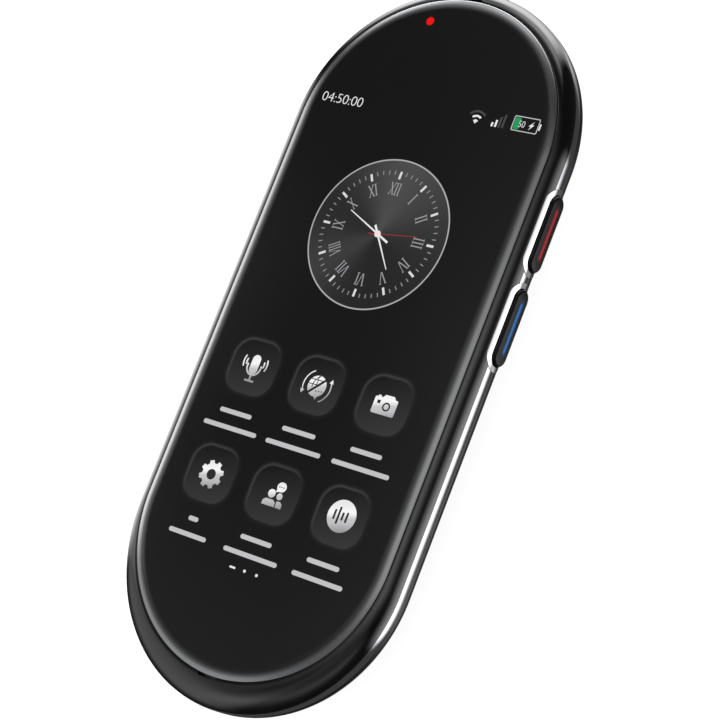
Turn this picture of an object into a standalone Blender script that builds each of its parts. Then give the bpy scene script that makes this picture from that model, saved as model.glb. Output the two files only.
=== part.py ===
"""A pill-shaped hand-held translator, lying on its back.

The glass faces +Z, the long axis runs along Y with the earpiece end at +Y, and the two talk buttons
are on the +X side. Depths are measured down from the face of the glass. Lengths are in metres.
"""

import math

import bmesh
import bpy
from mathutils import Matrix, Vector

# Glass
GLASS_WIDTH = 0.048
GLASS_LENGTH = 0.1155
GLASS_THICKNESS = 0.0011
GLASS_RIM_WIDTH = 0.0016
GLASS_RIM_DROP = 0.00048

# Body outline: how far the widest line stands outside the glass
SIDE_MARGIN = 0.0023
TOP_MARGIN = 0.0026
BOTTOM_MARGIN = 0.0050

# Body depths
BODY_THICKNESS = 0.0110
HOUSING_EDGE_DEPTH = 0.00050
WIDEST_DEPTH = 0.0030
BAND_TOP_DEPTH = 0.0024
BAND_HEIGHT = 0.0018
BACK_ROUND_WIDTH = 0.0140
COVER_WALL = 0.0012

# Clearances
SEAM_GAP = 0.00018
SPLIT_GAP = 0.0001
STACK_GAP = 0.0001
KEY_GAP = 0.0002
NOTCH_GAP = 0.00015
OVERRUN = 0.002

# Front housing, adhesive and display
ADHESIVE_THICKNESS = 0.0002
ADHESIVE_SETBACK = 0.00015
LEDGE_WIDTH = 0.0016
LEDGE_THICKNESS = 0.0006
HOUSING_WALL = 0.0012
DISPLAY_SETBACK = 0.0019
DISPLAY_THICKNESS = 0.0012
DISPLAY_END_SETBACK = 0.01125

# Metal frame and chassis plate
FRAME_WALL = 0.0020
FLANGE_WIDTH = 0.0017
FLANGE_THICKNESS = 0.0010
CHASSIS_THICKNESS = 0.0006
CHASSIS_EDGE_GAP = 0.0002

# Side buttons
BUTTON_LENGTH = 0.0127
BUTTON_HEIGHT = 0.0035
BUTTON_PROUD = 0.0006
BUTTON_DEPTH = 0.00405
BUTTON_PITCH = 0.01565
RED_BUTTON_REACH = 0.02325
BUTTON_EDGE = 0.00045
COLLAR_RIM = 0.00100
COLLAR_SIDE_RIM = 0.00095
COLLAR_PROUD = 0.00006
KEY_SEAT_RECESS = 0.0001
TAB_LENGTH = 0.0007
TAB_THICKNESS = 0.0006
TAB_HEIGHT = 0.0028
STRIP_LENGTH = 0.0083
STRIP_WIDTH = 0.00065
STRIP_DEPTH = 0.0006
STRIP_GAP = 0.0001
STRIP_PROUD = 0.00004

# Power key on the top end
POWER_LENGTH = 0.0074
POWER_HEIGHT = 0.0017
POWER_PROUD = 0.0005
POWER_DEPTH = 0.0049
POWER_EDGE = 0.0003
POWER_TAB_HEIGHT = 0.0014

# Switches behind the keys
KEY_TRAVEL = 0.0003
PLUNGER_RADIUS = 0.0007
PLUNGER_LENGTH = 0.0010
PLUNGER_SUNK = 0.0003
SWITCH_LENGTH = 0.0034
SWITCH_HEIGHT = 0.0022
SWITCH_FLOOR = 0.0004
KEY_BOARD_THICKNESS = 0.0003
KEY_BOARD_HEIGHT = 0.0034
KEY_BOARD_END = 0.0030

# Front openings
SLOT_LENGTH = 0.0036
SLOT_WIDTH = 0.0006
MESH_THICKNESS = 0.0002
MESH_DEPTH = 0.0013
INDICATOR_RADIUS = 0.0008
INDICATOR_ACROSS = 0.0060
INDICATOR_TOP_SETBACK = 0.0047

# Boards
BOARD_THICKNESS = 0.0008
BOARD_RIBBON_OVERHANG = 0.0003
BOARD_LENGTH = 0.0420
BOARD_SIDE_SETBACK = 0.0045
BOARD_CORNER = 0.0030
POST_HEIGHT = 0.0010
POST_RADIUS = 0.0019
POST_EDGE = 0.0028
SCREW_RADIUS = 0.0006
SCREW_HEAD_RADIUS = 0.0012
SCREW_HEAD_HEIGHT = 0.0005
SCREW_BITE = 0.0009
SCREW_GAP = 0.00012
CHIP_SIZE = 0.0110
CHIP_THICKNESS = 0.0010
SHIELD_SCREW_GAP = 0.0017
SHIELD_LENGTH = 0.0160
SHIELD_HEIGHT = 0.0017
SHIELD_WALL = 0.00025
SHIELD_EDGE = 0.0032

# Battery
BATTERY_THICKNESS = 0.0042
BATTERY_SIDE_SETBACK = 0.0075
BATTERY_END_GAP = 0.0015
BATTERY_CORNER = 0.0012

# Camera and flash, on the back
CAMERA_SIZE = 0.0084
CAMERA_ACROSS = 0.0056
CAMERA_TOP_SETBACK = 0.0165
CAMERA_BASE_SHARE = 0.72
CAMERA_BARREL_RADIUS = 0.0030
TRIM_OUTER_RADIUS = 0.0046
TRIM_INNER_RADIUS = 0.0035
TRIM_SUNK = 0.00005
TRIM_EDGE = 0.0002
WINDOW_THICKNESS = 0.0006
WINDOW_SUNK = 0.0003
FLASH_RADIUS = 0.0016
FLASH_THICKNESS = 0.0010
FLASH_LED_SIZE = 0.0022
FLASH_LED_THICKNESS = 0.0007

# Loudspeaker, on the back
SPEAKER_WIDTH = 0.0165
SPEAKER_LENGTH = 0.0100
SPEAKER_THICKNESS = 0.0036
SPEAKER_CORNER = 0.0010
GRILLE_SLOT_LENGTH = 0.0100
GRILLE_SLOT_WIDTH = 0.0009
GRILLE_PITCH = 0.0019
GRILLE_SLOTS = 4
GRILLE_MESH_EDGE = 0.0011

# Bottom end
USB_BOARD_WIDTH = 0.0160
USB_BOARD_LENGTH = 0.0078
USB_BOARD_THICKNESS = 0.0006
USB_BOARD_END_GAP = 0.0026
USB_SCREW_ACROSS = 0.0064
USB_SCREW_SETBACK = 0.0018
USB_POST_RADIUS = 0.0015
SOCKET_WIDTH = 0.0090
SOCKET_HEIGHT = 0.0032
SOCKET_LENGTH = 0.0073
SOCKET_WALL = 0.0003
SOCKET_FLOOR = 0.0010
SOCKET_SUNK = 0.0002
TONGUE_WIDTH = 0.0067
TONGUE_THICKNESS = 0.0007
TONGUE_LENGTH = 0.0046
SPEAKER_USB_GAP = 0.0008
MICROPHONE_WIDTH = 0.0030
MICROPHONE_LENGTH = 0.0022
MICROPHONE_HEIGHT = 0.0009
MOTOR_RADIUS = 0.0036
MOTOR_THICKNESS = 0.0027
MOTOR_GAP = 0.0009

# Top end
RECEIVER_WIDTH = 0.0090
RECEIVER_LENGTH = 0.0046
RECEIVER_THICKNESS = 0.0016
RECEIVER_BOARD_GAP = 0.0007
ANTENNA_WIDTH = 0.0060
ANTENNA_LENGTH = 0.0036
ANTENNA_THICKNESS = 0.0002
ANTENNA_GAP = 0.0012
RIBBON_WIDTH = 0.0080
RIBBON_THICKNESS = 0.0002
RIBBON_LOOP = 0.0011
RIBBON_LAP = 0.0012

# How finely curves are cut
END_STEPS = 28
RIM_STEPS = 5
HOUSING_STEPS = 8
BAND_STEPS = 3
BACK_STEPS = 9
PILL_STEPS = 8
ROUND_STEPS = 24
SCREW_STEPS = 14
MERGE = 0.000001

# Where the middle of the glass lies, so that the whole object's box is centred on the origin
GLASS_X = -(BUTTON_PROUD + STRIP_PROUD) / 2
GLASS_Y = (BOTTOM_MARGIN - TOP_MARGIN - POWER_PROUD) / 2

# Depths that follow from the stack of layers
ADHESIVE_DEPTH = GLASS_THICKNESS + STACK_GAP
LEDGE_DEPTH = ADHESIVE_DEPTH + ADHESIVE_THICKNESS + STACK_GAP
LEDGE_BACK = LEDGE_DEPTH + LEDGE_THICKNESS
DISPLAY_DEPTH = GLASS_THICKNESS + STACK_GAP
DISPLAY_BACK = DISPLAY_DEPTH + DISPLAY_THICKNESS
CHASSIS_DEPTH = max(DISPLAY_BACK, LEDGE_BACK) + STACK_GAP
CHASSIS_BACK = CHASSIS_DEPTH + CHASSIS_THICKNESS
FRAME_DEPTH = BAND_TOP_DEPTH + SPLIT_GAP
FRAME_BACK = BAND_TOP_DEPTH + BAND_HEIGHT
FLANGE_DEPTH = max(CHASSIS_BACK + STACK_GAP, FRAME_BACK - FLANGE_THICKNESS)
COVER_DEPTH = FRAME_BACK + SPLIT_GAP
COVER_FLOOR_DEPTH = BODY_THICKNESS - COVER_WALL
BOARD_DEPTH = CHASSIS_BACK + POST_HEIGHT + STACK_GAP
BOARD_BACK = BOARD_DEPTH + BOARD_THICKNESS

# Reaches from the middle of the glass
BODY_HALF_WIDTH = GLASS_WIDTH / 2 + SIDE_MARGIN
BODY_TOP = GLASS_LENGTH / 2 + TOP_MARGIN
BODY_BOTTOM = GLASS_LENGTH / 2 + BOTTOM_MARGIN
BOARD_HALF_WIDTH = GLASS_WIDTH / 2 - BOARD_SIDE_SETBACK
DISPLAY_REACH = GLASS_LENGTH / 2 - DISPLAY_END_SETBACK
RIBBON_REACH = DISPLAY_REACH + STACK_GAP + RIBBON_LOOP
BOARD_TOP = RIBBON_REACH + BOARD_RIBBON_OVERHANG
BOARD_BOTTOM = BOARD_TOP - BOARD_LENGTH
SHIELD_HALF_WIDTH = BOARD_HALF_WIDTH - 2 * POST_EDGE - SCREW_HEAD_RADIUS - SHIELD_SCREW_GAP
USB_BOARD_BOTTOM = BODY_BOTTOM - COVER_WALL - USB_BOARD_END_GAP
USB_BOARD_TOP = USB_BOARD_BOTTOM - USB_BOARD_LENGTH
SPEAKER_BOTTOM = USB_BOARD_TOP - SPEAKER_USB_GAP
SPEAKER_TOP = SPEAKER_BOTTOM - SPEAKER_LENGTH

BLACK_GLASS = ((0.010, 0.010, 0.011), 0.06, 0.0)
BLACK_GLOSS = ((0.012, 0.012, 0.013), 0.16, 0.0)
BLACK_SATIN = ((0.020, 0.020, 0.022), 0.42, 0.0)
BLACK_TAPE = ((0.010, 0.010, 0.010), 0.80, 0.0)
BRIGHT_METAL = ((0.800, 0.810, 0.830), 0.14, 1.0)
GREY_METAL = ((0.420, 0.430, 0.450), 0.38, 1.0)
DARK_MESH = ((0.030, 0.030, 0.032), 0.55, 0.8)
RED_LIGHT = ((0.700, 0.010, 0.015), 0.25, 0.0)
BLUE_LIGHT = ((0.015, 0.160, 0.700), 0.25, 0.0)
BOARD_GREEN = ((0.015, 0.090, 0.050), 0.45, 0.0)
FLEX_AMBER = ((0.320, 0.120, 0.020), 0.40, 0.0)
CLEAR_LENS = ((0.850, 0.840, 0.780), 0.08, 0.0)
CELL_SILVER = ((0.520, 0.530, 0.550), 0.35, 0.6)

FACING_FRONT = Matrix.Identity(3)
FACING_RIGHT = Matrix(((0, 0, 1), (1, 0, 0), (0, 1, 0)))
FACING_TOP = Matrix(((-1, 0, 0), (0, 0, 1), (0, 1, 0)))
FACING_BOTTOM = Matrix(((1, 0, 0), (0, 0, -1), (0, 1, 0)))


def clear_scene():
    """Take every object out of the file."""
    for old in list(bpy.data.objects):
        bpy.data.objects.remove(old, do_unlink=True)


def new_collection(name):
    """Make an empty collection in the scene."""
    made = bpy.data.collections.new(name)
    bpy.context.scene.collection.children.link(made)
    return made


clear_scene()
PARTS = new_collection("handheld_translator")
CUTTERS = new_collection("cutters")


def spot(across, along, depth):
    """A point given from the middle of the glass, as a world position."""
    return Vector((GLASS_X + across, GLASS_Y + along, BODY_THICKNESS - depth))


def paint(obj, finish):
    """Give a piece its own plain material."""
    colour, roughness, metallic = finish
    material = bpy.data.materials.new(obj.name + "_finish")
    material.use_nodes = True
    shader = material.node_tree.nodes["Principled BSDF"]
    shader.inputs["Base Color"].default_value = (*colour, 1.0)
    shader.inputs["Roughness"].default_value = roughness
    shader.inputs["Metallic"].default_value = metallic
    obj.data.materials.clear()
    obj.data.materials.append(material)


def place(obj, centre, facing=FACING_FRONT):
    """Turn and move an object that was made round its own origin."""
    obj.matrix_world = Matrix.Translation(centre) @ facing.to_4x4()


def keep(obj, finish):
    """Put an object among the parts, or among the cutters where it has no finish."""
    if finish is None:
        CUTTERS.objects.link(obj)
        obj.display_type = "WIRE"
        obj.hide_render = True
    else:
        PARTS.objects.link(obj)
        paint(obj, finish)
        obj.data.shade_smooth()
        obj.data.set_sharp_from_angle(angle=math.radians(32))
    return obj


def from_bmesh(name, mesh_edit, finish):
    """Turn a bmesh into a kept object."""
    mesh = bpy.data.meshes.new(name)
    mesh_edit.to_mesh(mesh)
    mesh_edit.free()
    return keep(bpy.data.objects.new(name, mesh), finish)


def box(name, size, centre, finish, facing=FACING_FRONT):
    """A block of the given size along its own X, Y and Z."""
    edit = bmesh.new()
    bmesh.ops.create_cube(edit, size=1.0, matrix=Matrix.Diagonal((*size, 1.0)))
    made = from_bmesh(name, edit, finish)
    place(made, centre, facing)
    return made


def cylinder(name, radius, length, centre, finish, facing=FACING_FRONT, steps=ROUND_STEPS):
    """A round bar along its own Z."""
    edit = bmesh.new()
    bmesh.ops.create_cone(
        edit, cap_ends=True, segments=steps, radius1=radius, radius2=radius, depth=length
    )
    made = from_bmesh(name, edit, finish)
    place(made, centre, facing)
    return made


def flat_shape(name, outlines, thickness, centre, finish, facing=FACING_FRONT):
    """A plate from one closed outline, with any further outlines as holes."""
    curve = bpy.data.curves.new(name + "_outline", "CURVE")
    curve.dimensions = "2D"
    curve.fill_mode = "BOTH"
    curve.extrude = thickness / 2
    for points in outlines:
        spline = curve.splines.new("POLY")
        spline.points.add(len(points) - 1)
        spline.use_cyclic_u = True
        for point, (x, y) in zip(spline.points, points):
            point.co = (x, y, 0.0, 1.0)
    drawn = bpy.data.objects.new(name + "_outline", curve)
    CUTTERS.objects.link(drawn)
    depsgraph = bpy.context.evaluated_depsgraph_get()
    mesh = bpy.data.meshes.new_from_object(drawn.evaluated_get(depsgraph))
    bpy.data.objects.remove(drawn, do_unlink=True)
    edit = bmesh.new()
    edit.from_mesh(mesh)
    bmesh.ops.remove_doubles(edit, verts=edit.verts, dist=MERGE)
    bpy.data.meshes.remove(mesh)
    made = from_bmesh(name, edit, finish)
    place(made, centre, facing)
    return made


def pill_points(length, height):
    """A pill outline, long along X."""
    radius = height / 2
    reach = length / 2 - radius
    points = []
    for side in (1, -1):
        for step in range(PILL_STEPS + 1):
            angle = math.pi * step / PILL_STEPS - math.pi / 2
            points.append((side * (reach + radius * math.cos(angle)), side * radius * math.sin(angle)))
    return points


def pill(name, length, height, thickness, centre, finish, facing=FACING_FRONT):
    """A pill-shaped block."""
    return flat_shape(name, [pill_points(length, height)], thickness, centre, finish, facing)


def round_corner_points(width, length, radius):
    """A rectangle with round corners, centred on zero."""
    points = []
    corners = ((1, 1, 0), (-1, 1, 1), (-1, -1, 2), (1, -1, 3))
    for sign_x, sign_y, quarter in corners:
        for step in range(PILL_STEPS // 2 + 1):
            angle = math.pi / 2 * (quarter + step / (PILL_STEPS // 2))
            x = sign_x * (width / 2 - radius) + radius * math.cos(angle)
            y = sign_y * (length / 2 - radius) + radius * math.sin(angle)
            points.append((x, y))
    return points


def body_outline(share=0.0, inset=0.0):
    """The pill outline between the glass (share 0) and the widest line (share 1), drawn in by inset."""
    half = GLASS_WIDTH / 2 + share * SIDE_MARGIN - inset
    top = GLASS_LENGTH / 2 + share * TOP_MARGIN - inset
    bottom = GLASS_LENGTH / 2 + share * BOTTOM_MARGIN - inset
    points = []
    for turn, centre_y in ((0.0, top - half), (math.pi, half - bottom)):
        for step in range(END_STEPS + 1):
            angle = turn + math.pi * step / END_STEPS
            points.append((half * math.cos(angle), centre_y + half * math.sin(angle)))
    return points


def outer_share(depth):
    """How far out the side has come at a depth, as a share of the margin: a quarter ellipse."""
    rise = max(WIDEST_DEPTH - depth, 0.0) / (WIDEST_DEPTH - HOUSING_EDGE_DEPTH)
    return math.sqrt(1 - rise * rise)


def band_depths():
    """The depths at which the band's outer face is drawn, down from its top edge."""
    curved = WIDEST_DEPTH - FRAME_DEPTH
    return [FRAME_DEPTH + curved * step / BAND_STEPS for step in range(BAND_STEPS + 1)]


def cover_rings(drop, width, wall):
    """The curve of the back cover from its top edge to the flat, for its outer or its inner face."""
    rings = []
    for step in range(BACK_STEPS + 1):
        angle = math.pi / 2 * step / BACK_STEPS
        rings.append((1.0, wall + width * (1 - math.cos(angle)), COVER_DEPTH + drop * math.sin(angle)))
    return rings


def housing_rings():
    """The curve of the front housing from the seam at the glass to its lower edge."""
    drop = WIDEST_DEPTH - HOUSING_EDGE_DEPTH
    first = math.asin(min(2 * SEAM_GAP / SIDE_MARGIN, 1.0))
    last = math.acos((WIDEST_DEPTH - BAND_TOP_DEPTH) / drop)
    rings = []
    for step in range(HOUSING_STEPS + 1):
        angle = first + (last - first) * step / HOUSING_STEPS
        rings.append((math.sin(angle), 0.0, WIDEST_DEPTH - drop * math.cos(angle)))
    return rings


def loft(name, rings, finish, closed_loop):
    """Skin a body through rings of (share, inset, depth). A closed loop makes a hollow ring."""
    edit = bmesh.new()
    loops = []
    for share, inset, depth in rings:
        loops.append([edit.verts.new(spot(x, y, depth)) for x, y in body_outline(share, inset)])
    pairs = list(zip(loops, loops[1:]))
    if closed_loop:
        pairs.append((loops[-1], loops[0]))
    for upper, lower in pairs:
        for here in range(len(upper)):
            after = (here + 1) % len(upper)
            edit.faces.new((upper[here], lower[here], lower[after], upper[after]))
    if not closed_loop:
        edit.faces.new(loops[0])
        edit.faces.new(list(reversed(loops[-1])))
    bmesh.ops.recalc_face_normals(edit, faces=edit.faces)
    return from_bmesh(name, edit, finish)


def turned(name, profile, centre, finish, steps=ROUND_STEPS):
    """Turn a profile of (radius, height) points about its own Z, from its top down."""
    mesh = bpy.data.meshes.new(name)
    points = [(radius, 0.0, height) for radius, height in profile]
    mesh.from_pydata(points, [(i, i + 1) for i in range(len(points) - 1)], [])
    made = bpy.data.objects.new(name, mesh)
    screw = made.modifiers.new("turn", "SCREW")
    screw.steps = steps
    screw.render_steps = steps
    screw.use_merge_vertices = True
    screw.merge_threshold = MERGE
    screw.use_smooth_shade = False
    keep(made, finish)
    made.location = centre
    return made


def combine(obj, tool, operation):
    """Cut a tool out of a piece, or join it to the piece."""
    step = obj.modifiers.new(tool.name, "BOOLEAN")
    step.operation = operation
    step.solver = "EXACT"
    step.object = tool
    tool.display_type = "WIRE"
    tool.hide_render = True


def cut(obj, *tools):
    """Cut tools out of a piece."""
    for tool in tools:
        combine(obj, tool, "DIFFERENCE")


def join(obj, *tools):
    """Join tools to a piece."""
    for tool in tools:
        combine(obj, tool, "UNION")


def round_edges(obj, width, segments=2, angle=50):
    """Round the sharp edges of a piece."""
    bevel = obj.modifiers.new("rounding", "BEVEL")
    bevel.width = width
    bevel.segments = segments
    bevel.limit_method = "ANGLE"
    bevel.angle_limit = math.radians(angle)


def attach(children, name, position):
    """Hang pieces on an empty that lies on their joint's axis."""
    axis = bpy.data.objects.new(name, None)
    PARTS.objects.link(axis)
    axis.location = position
    for child in children:
        child.parent = axis
        child.matrix_parent_inverse = Matrix.Translation(-position)


def make_glass():
    """The cover glass, with its rounded rim."""
    rings = [(0.0, 0.0, GLASS_THICKNESS)]
    for step in range(RIM_STEPS + 1):
        angle = math.pi / 2 * step / RIM_STEPS
        inset = GLASS_RIM_WIDTH * (1 - math.cos(angle))
        depth = GLASS_RIM_DROP * (1 - math.sin(angle))
        rings.append((0.0, inset, depth))
    loft("cover_glass", rings, BLACK_GLASS, closed_loop=False)


def make_adhesive():
    """The ring of adhesive that holds the glass on the housing's ledge."""
    outlines = [body_outline(0.0, ADHESIVE_SETBACK), body_outline(0.0, LEDGE_WIDTH)]
    middle = spot(0, 0, ADHESIVE_DEPTH + ADHESIVE_THICKNESS / 2)
    flat_shape("glass_adhesive", outlines, ADHESIVE_THICKNESS, middle, BLACK_TAPE)


def display_points():
    """The display outline: the glass outline drawn in, and cut straight across both ends."""
    points = []
    for x, y in body_outline(0.0, DISPLAY_SETBACK):
        if abs(y) < DISPLAY_REACH:
            points.append((x, y))
    half = GLASS_WIDTH / 2 - DISPLAY_SETBACK
    rise = DISPLAY_REACH - (GLASS_LENGTH / 2 - GLASS_WIDTH / 2)
    corner = math.sqrt(max(half * half - rise * rise, 0.0))
    ends = [
        (corner, DISPLAY_REACH),
        (-corner, DISPLAY_REACH),
        (-corner, -DISPLAY_REACH),
        (corner, -DISPLAY_REACH),
    ]
    return sorted(points + ends, key=lambda point: math.atan2(point[1], point[0]))


def make_display():
    """The display panel under the glass, and the ribbon that folds back to the main board."""
    middle = spot(0, 0, DISPLAY_DEPTH + DISPLAY_THICKNESS / 2)
    flat_shape("display_panel", [display_points()], DISPLAY_THICKNESS, middle, BLACK_GLASS)
    start = DISPLAY_REACH + STACK_GAP
    far = RIBBON_REACH
    upper = -(DISPLAY_DEPTH + DISPLAY_THICKNESS / 2)
    lower = -(BOARD_DEPTH - STACK_GAP - RIBBON_THICKNESS)
    end = BOARD_TOP - RIBBON_LAP
    outline = [
        (start, upper),
        (far, upper),
        (far, lower - RIBBON_THICKNESS),
        (end, lower - RIBBON_THICKNESS),
        (end, lower),
        (far - RIBBON_THICKNESS, lower),
        (far - RIBBON_THICKNESS, upper - RIBBON_THICKNESS),
        (start, upper - RIBBON_THICKNESS),
    ]
    flat_shape("display_ribbon", [outline], RIBBON_WIDTH, spot(0, 0, 0), FLEX_AMBER, FACING_RIGHT)


def side_spot(across_from_widest, along, depth):
    """A point measured outwards from the body's widest line on the button side."""
    return spot(BODY_HALF_WIDTH + across_from_widest, along, depth)


def top_spot(along_from_widest, depth, across=0.0):
    """A point measured outwards from the body's top end."""
    return spot(across, BODY_TOP + along_from_widest, depth)


def collar_size(length, height):
    """The outer size of the collar round a key."""
    return length + 2 * COLLAR_RIM, height + 2 * COLLAR_SIDE_RIM


def collar_block(name, length, height, centre_of, grown):
    """The collar round a key, from the inside of the frame wall out, grown by a clearance."""
    outer_length, outer_height = collar_size(length, height)
    inner = -FRAME_WALL - grown
    outer = COLLAR_PROUD + OVERRUN
    centre, facing = centre_of((inner + outer) / 2)
    size = (outer_length + 2 * grown, outer_height + 2 * grown, outer - inner)
    return pill(name, *size, centre, None, facing)


def key_places():
    """Every key: its name, its size, and where a point at a given outward distance lies."""
    places = []
    for label, along in (("red", RED_BUTTON_REACH), ("blue", RED_BUTTON_REACH - BUTTON_PITCH)):

        def on_side(outward, along=along):
            return side_spot(outward, along, BUTTON_DEPTH), FACING_RIGHT

        places.append((label, BUTTON_LENGTH, BUTTON_HEIGHT, TAB_HEIGHT, on_side))

    def on_top(outward):
        return top_spot(outward, POWER_DEPTH), FACING_TOP

    places.append(("power", POWER_LENGTH, POWER_HEIGHT, POWER_TAB_HEIGHT, on_top))
    return places


def make_housing():
    """The glossy front housing: a ring with the ledge that carries the glass."""
    rings = [(0.0, -SEAM_GAP, HOUSING_EDGE_DEPTH)] + housing_rings()
    rings.append((1.0, HOUSING_WALL, BAND_TOP_DEPTH))
    rings.append((1.0, HOUSING_WALL, LEDGE_BACK))
    rings.append((0.0, LEDGE_WIDTH, LEDGE_BACK))
    rings.append((0.0, LEDGE_WIDTH, LEDGE_DEPTH))
    rings.append((0.0, -SEAM_GAP, LEDGE_DEPTH))
    housing = loft("front_housing", rings, BLACK_GLOSS, closed_loop=True)
    for label, length, height, _tab, centre_of in key_places()[:2]:
        cut(housing, collar_block(label + "_housing_notch", length, height, centre_of, NOTCH_GAP))
    for label, along in (("earpiece", 1), ("microphone", -1)):
        centre = spot(0, along * slot_reach(), LEDGE_BACK / 2)
        slot = pill(label + "_slot", SLOT_LENGTH, SLOT_WIDTH, LEDGE_BACK + OVERRUN, centre, None)
        cut(housing, slot)


def slot_reach():
    """How far from the middle of the glass the two end slots lie."""
    return GLASS_LENGTH / 2 + SEAM_GAP + SLOT_WIDTH / 2 - 2 * NOTCH_GAP


def make_slot_meshes():
    """The fine meshes that close the two end slots."""
    for name, along in (("earpiece_mesh", 1), ("microphone_mesh", -1)):
        centre = spot(0, along * slot_reach(), MESH_DEPTH + MESH_THICKNESS / 2)
        size = (SLOT_LENGTH - 2 * STRIP_GAP, SLOT_WIDTH - 2 * STRIP_GAP, MESH_THICKNESS)
        made = pill(name, *size, centre, DARK_MESH)
        place(made, centre + Vector((0, along * STRIP_GAP / 2, 0)))


def make_skin():
    """The whole body's outer form, a hair proud, to which the collars round the keys are trimmed."""
    rings = housing_rings()
    rings += [(outer_share(depth), 0.0, depth) for depth in band_depths()]
    rings += cover_rings(BODY_THICKNESS - COVER_DEPTH, BACK_ROUND_WIDTH, 0.0)
    proud = [(share, inset - COLLAR_PROUD, depth) for share, inset, depth in rings]
    return loft("outer_skin", proud, None, closed_loop=False)


def make_frame():
    """The metal frame: a band with an inner flange, and a collar round each key."""
    rings = [(outer_share(depth), 0.0, depth) for depth in band_depths()]
    rings += [
        (1.0, 0.0, FRAME_BACK),
        (1.0, FRAME_WALL + FLANGE_WIDTH, FRAME_BACK),
        (1.0, FRAME_WALL + FLANGE_WIDTH, FLANGE_DEPTH),
        (1.0, FRAME_WALL, FLANGE_DEPTH),
        (1.0, FRAME_WALL, FRAME_DEPTH),
    ]
    frame = loft("metal_frame", rings, BRIGHT_METAL, closed_loop=True)
    skin = make_skin()
    for label, length, height, tab, centre_of in key_places():
        collar = collar_block(label + "_collar", length, height, centre_of, 0.0)
        combine(collar, skin, "INTERSECT")
        join(frame, collar)
        centre, facing = centre_of(0.0)
        hole = (length + 2 * KEY_GAP, height + 2 * KEY_GAP, 2 * FRAME_WALL + OVERRUN)
        cut(frame, pill(label + "_key_hole", *hole, centre, None, facing))
        behind = FLANGE_WIDTH + OVERRUN
        centre, facing = centre_of(-FRAME_WALL + KEY_SEAT_RECESS - behind / 2)
        tall = max(tab, SWITCH_HEIGHT) + 3 * KEY_GAP
        pocket = (length + 2 * TAB_LENGTH + 3 * KEY_GAP, tall, behind)
        cut(frame, pill(label + "_tab_pocket", *pocket, centre, None, facing))


def make_chassis():
    """The plate inside that carries the display on its face and the boards on its posts."""
    thickness = CHASSIS_THICKNESS
    middle = spot(0, 0, CHASSIS_DEPTH + thickness / 2)
    outline = body_outline(1.0, FRAME_WALL + CHASSIS_EDGE_GAP)
    chassis = flat_shape("chassis_plate", [outline], thickness, middle, GREY_METAL)
    notch_in = -FRAME_WALL - TAB_THICKNESS - PLUNGER_LENGTH - SWITCH_FLOOR - PLUNGER_SUNK - 3 * KEY_GAP
    notch_in = notch_in - KEY_BOARD_THICKNESS
    notch_long = BUTTON_PITCH + BUTTON_LENGTH + 2 * TAB_LENGTH + 2 * KEY_GAP
    centre = side_spot(notch_in / 2, RED_BUTTON_REACH - BUTTON_PITCH / 2, CHASSIS_DEPTH)
    cut(chassis, box("key_notch", (-notch_in, notch_long, OVERRUN), centre, None))
    centre = spot(0, RIBBON_REACH - RIBBON_LOOP / 2, CHASSIS_DEPTH)
    slot = (RIBBON_WIDTH + 2 * KEY_GAP, RIBBON_LOOP + 3 * KEY_GAP, OVERRUN)
    cut(chassis, box("ribbon_slot", slot, centre, None))
    for index, (x, y, radius, height) in enumerate(post_places()):
        length = height + thickness / 2
        centre = spot(x, y, CHASSIS_BACK + height - length / 2)
        join(chassis, cylinder(f"post_{index}", radius, length, centre, None))
        radius = SCREW_RADIUS + SCREW_GAP
        centre = spot(x, y, CHASSIS_BACK + height)
        depth = 2 * (SCREW_BITE + SCREW_GAP)
        cut(chassis, cylinder(f"bore_{index}", radius, depth, centre, None, steps=SCREW_STEPS))


def board_screw_places():
    """The four screws of the main board."""
    x = BOARD_HALF_WIDTH - POST_EDGE
    top = BOARD_TOP - POST_EDGE
    bottom = BOARD_BOTTOM + POST_EDGE
    return [(-x, top), (x, top), (-x, bottom), (x - POST_EDGE, bottom)]


def usb_screw_places():
    """The two screws of the socket board."""
    y = -(USB_BOARD_TOP + USB_SCREW_SETBACK)
    return [(-USB_SCREW_ACROSS, y), (USB_SCREW_ACROSS, y)]


def post_places():
    """Every post on the chassis: where it stands, its radius and its height."""
    posts = [(x, y, POST_RADIUS, POST_HEIGHT) for x, y in board_screw_places()]
    posts += [(x, y, USB_POST_RADIUS, POST_HEIGHT) for x, y in usb_screw_places()]
    return posts


def make_screws():
    """One screw in each post, its head on the board."""
    boards = [BOARD_BACK] * len(board_screw_places())
    boards += [BOARD_DEPTH + USB_BOARD_THICKNESS] * len(usb_screw_places())
    for index, ((x, y, _radius, _height), seat) in enumerate(zip(post_places(), boards)):
        tip = seat - (CHASSIS_BACK + POST_HEIGHT - SCREW_BITE) + STACK_GAP
        profile = [
            (0.0, tip),
            (SCREW_RADIUS, tip),
            (SCREW_RADIUS, 0.0),
            (SCREW_HEAD_RADIUS, 0.0),
            (SCREW_HEAD_RADIUS, -SCREW_HEAD_HEIGHT * 0.6),
            (SCREW_HEAD_RADIUS * 0.7, -SCREW_HEAD_HEIGHT),
            (0.0, -SCREW_HEAD_HEIGHT),
        ]
        centre = spot(x, y, seat + STACK_GAP)
        turned(f"board_screw_{index + 1}", profile, centre, GREY_METAL, steps=SCREW_STEPS)


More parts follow.
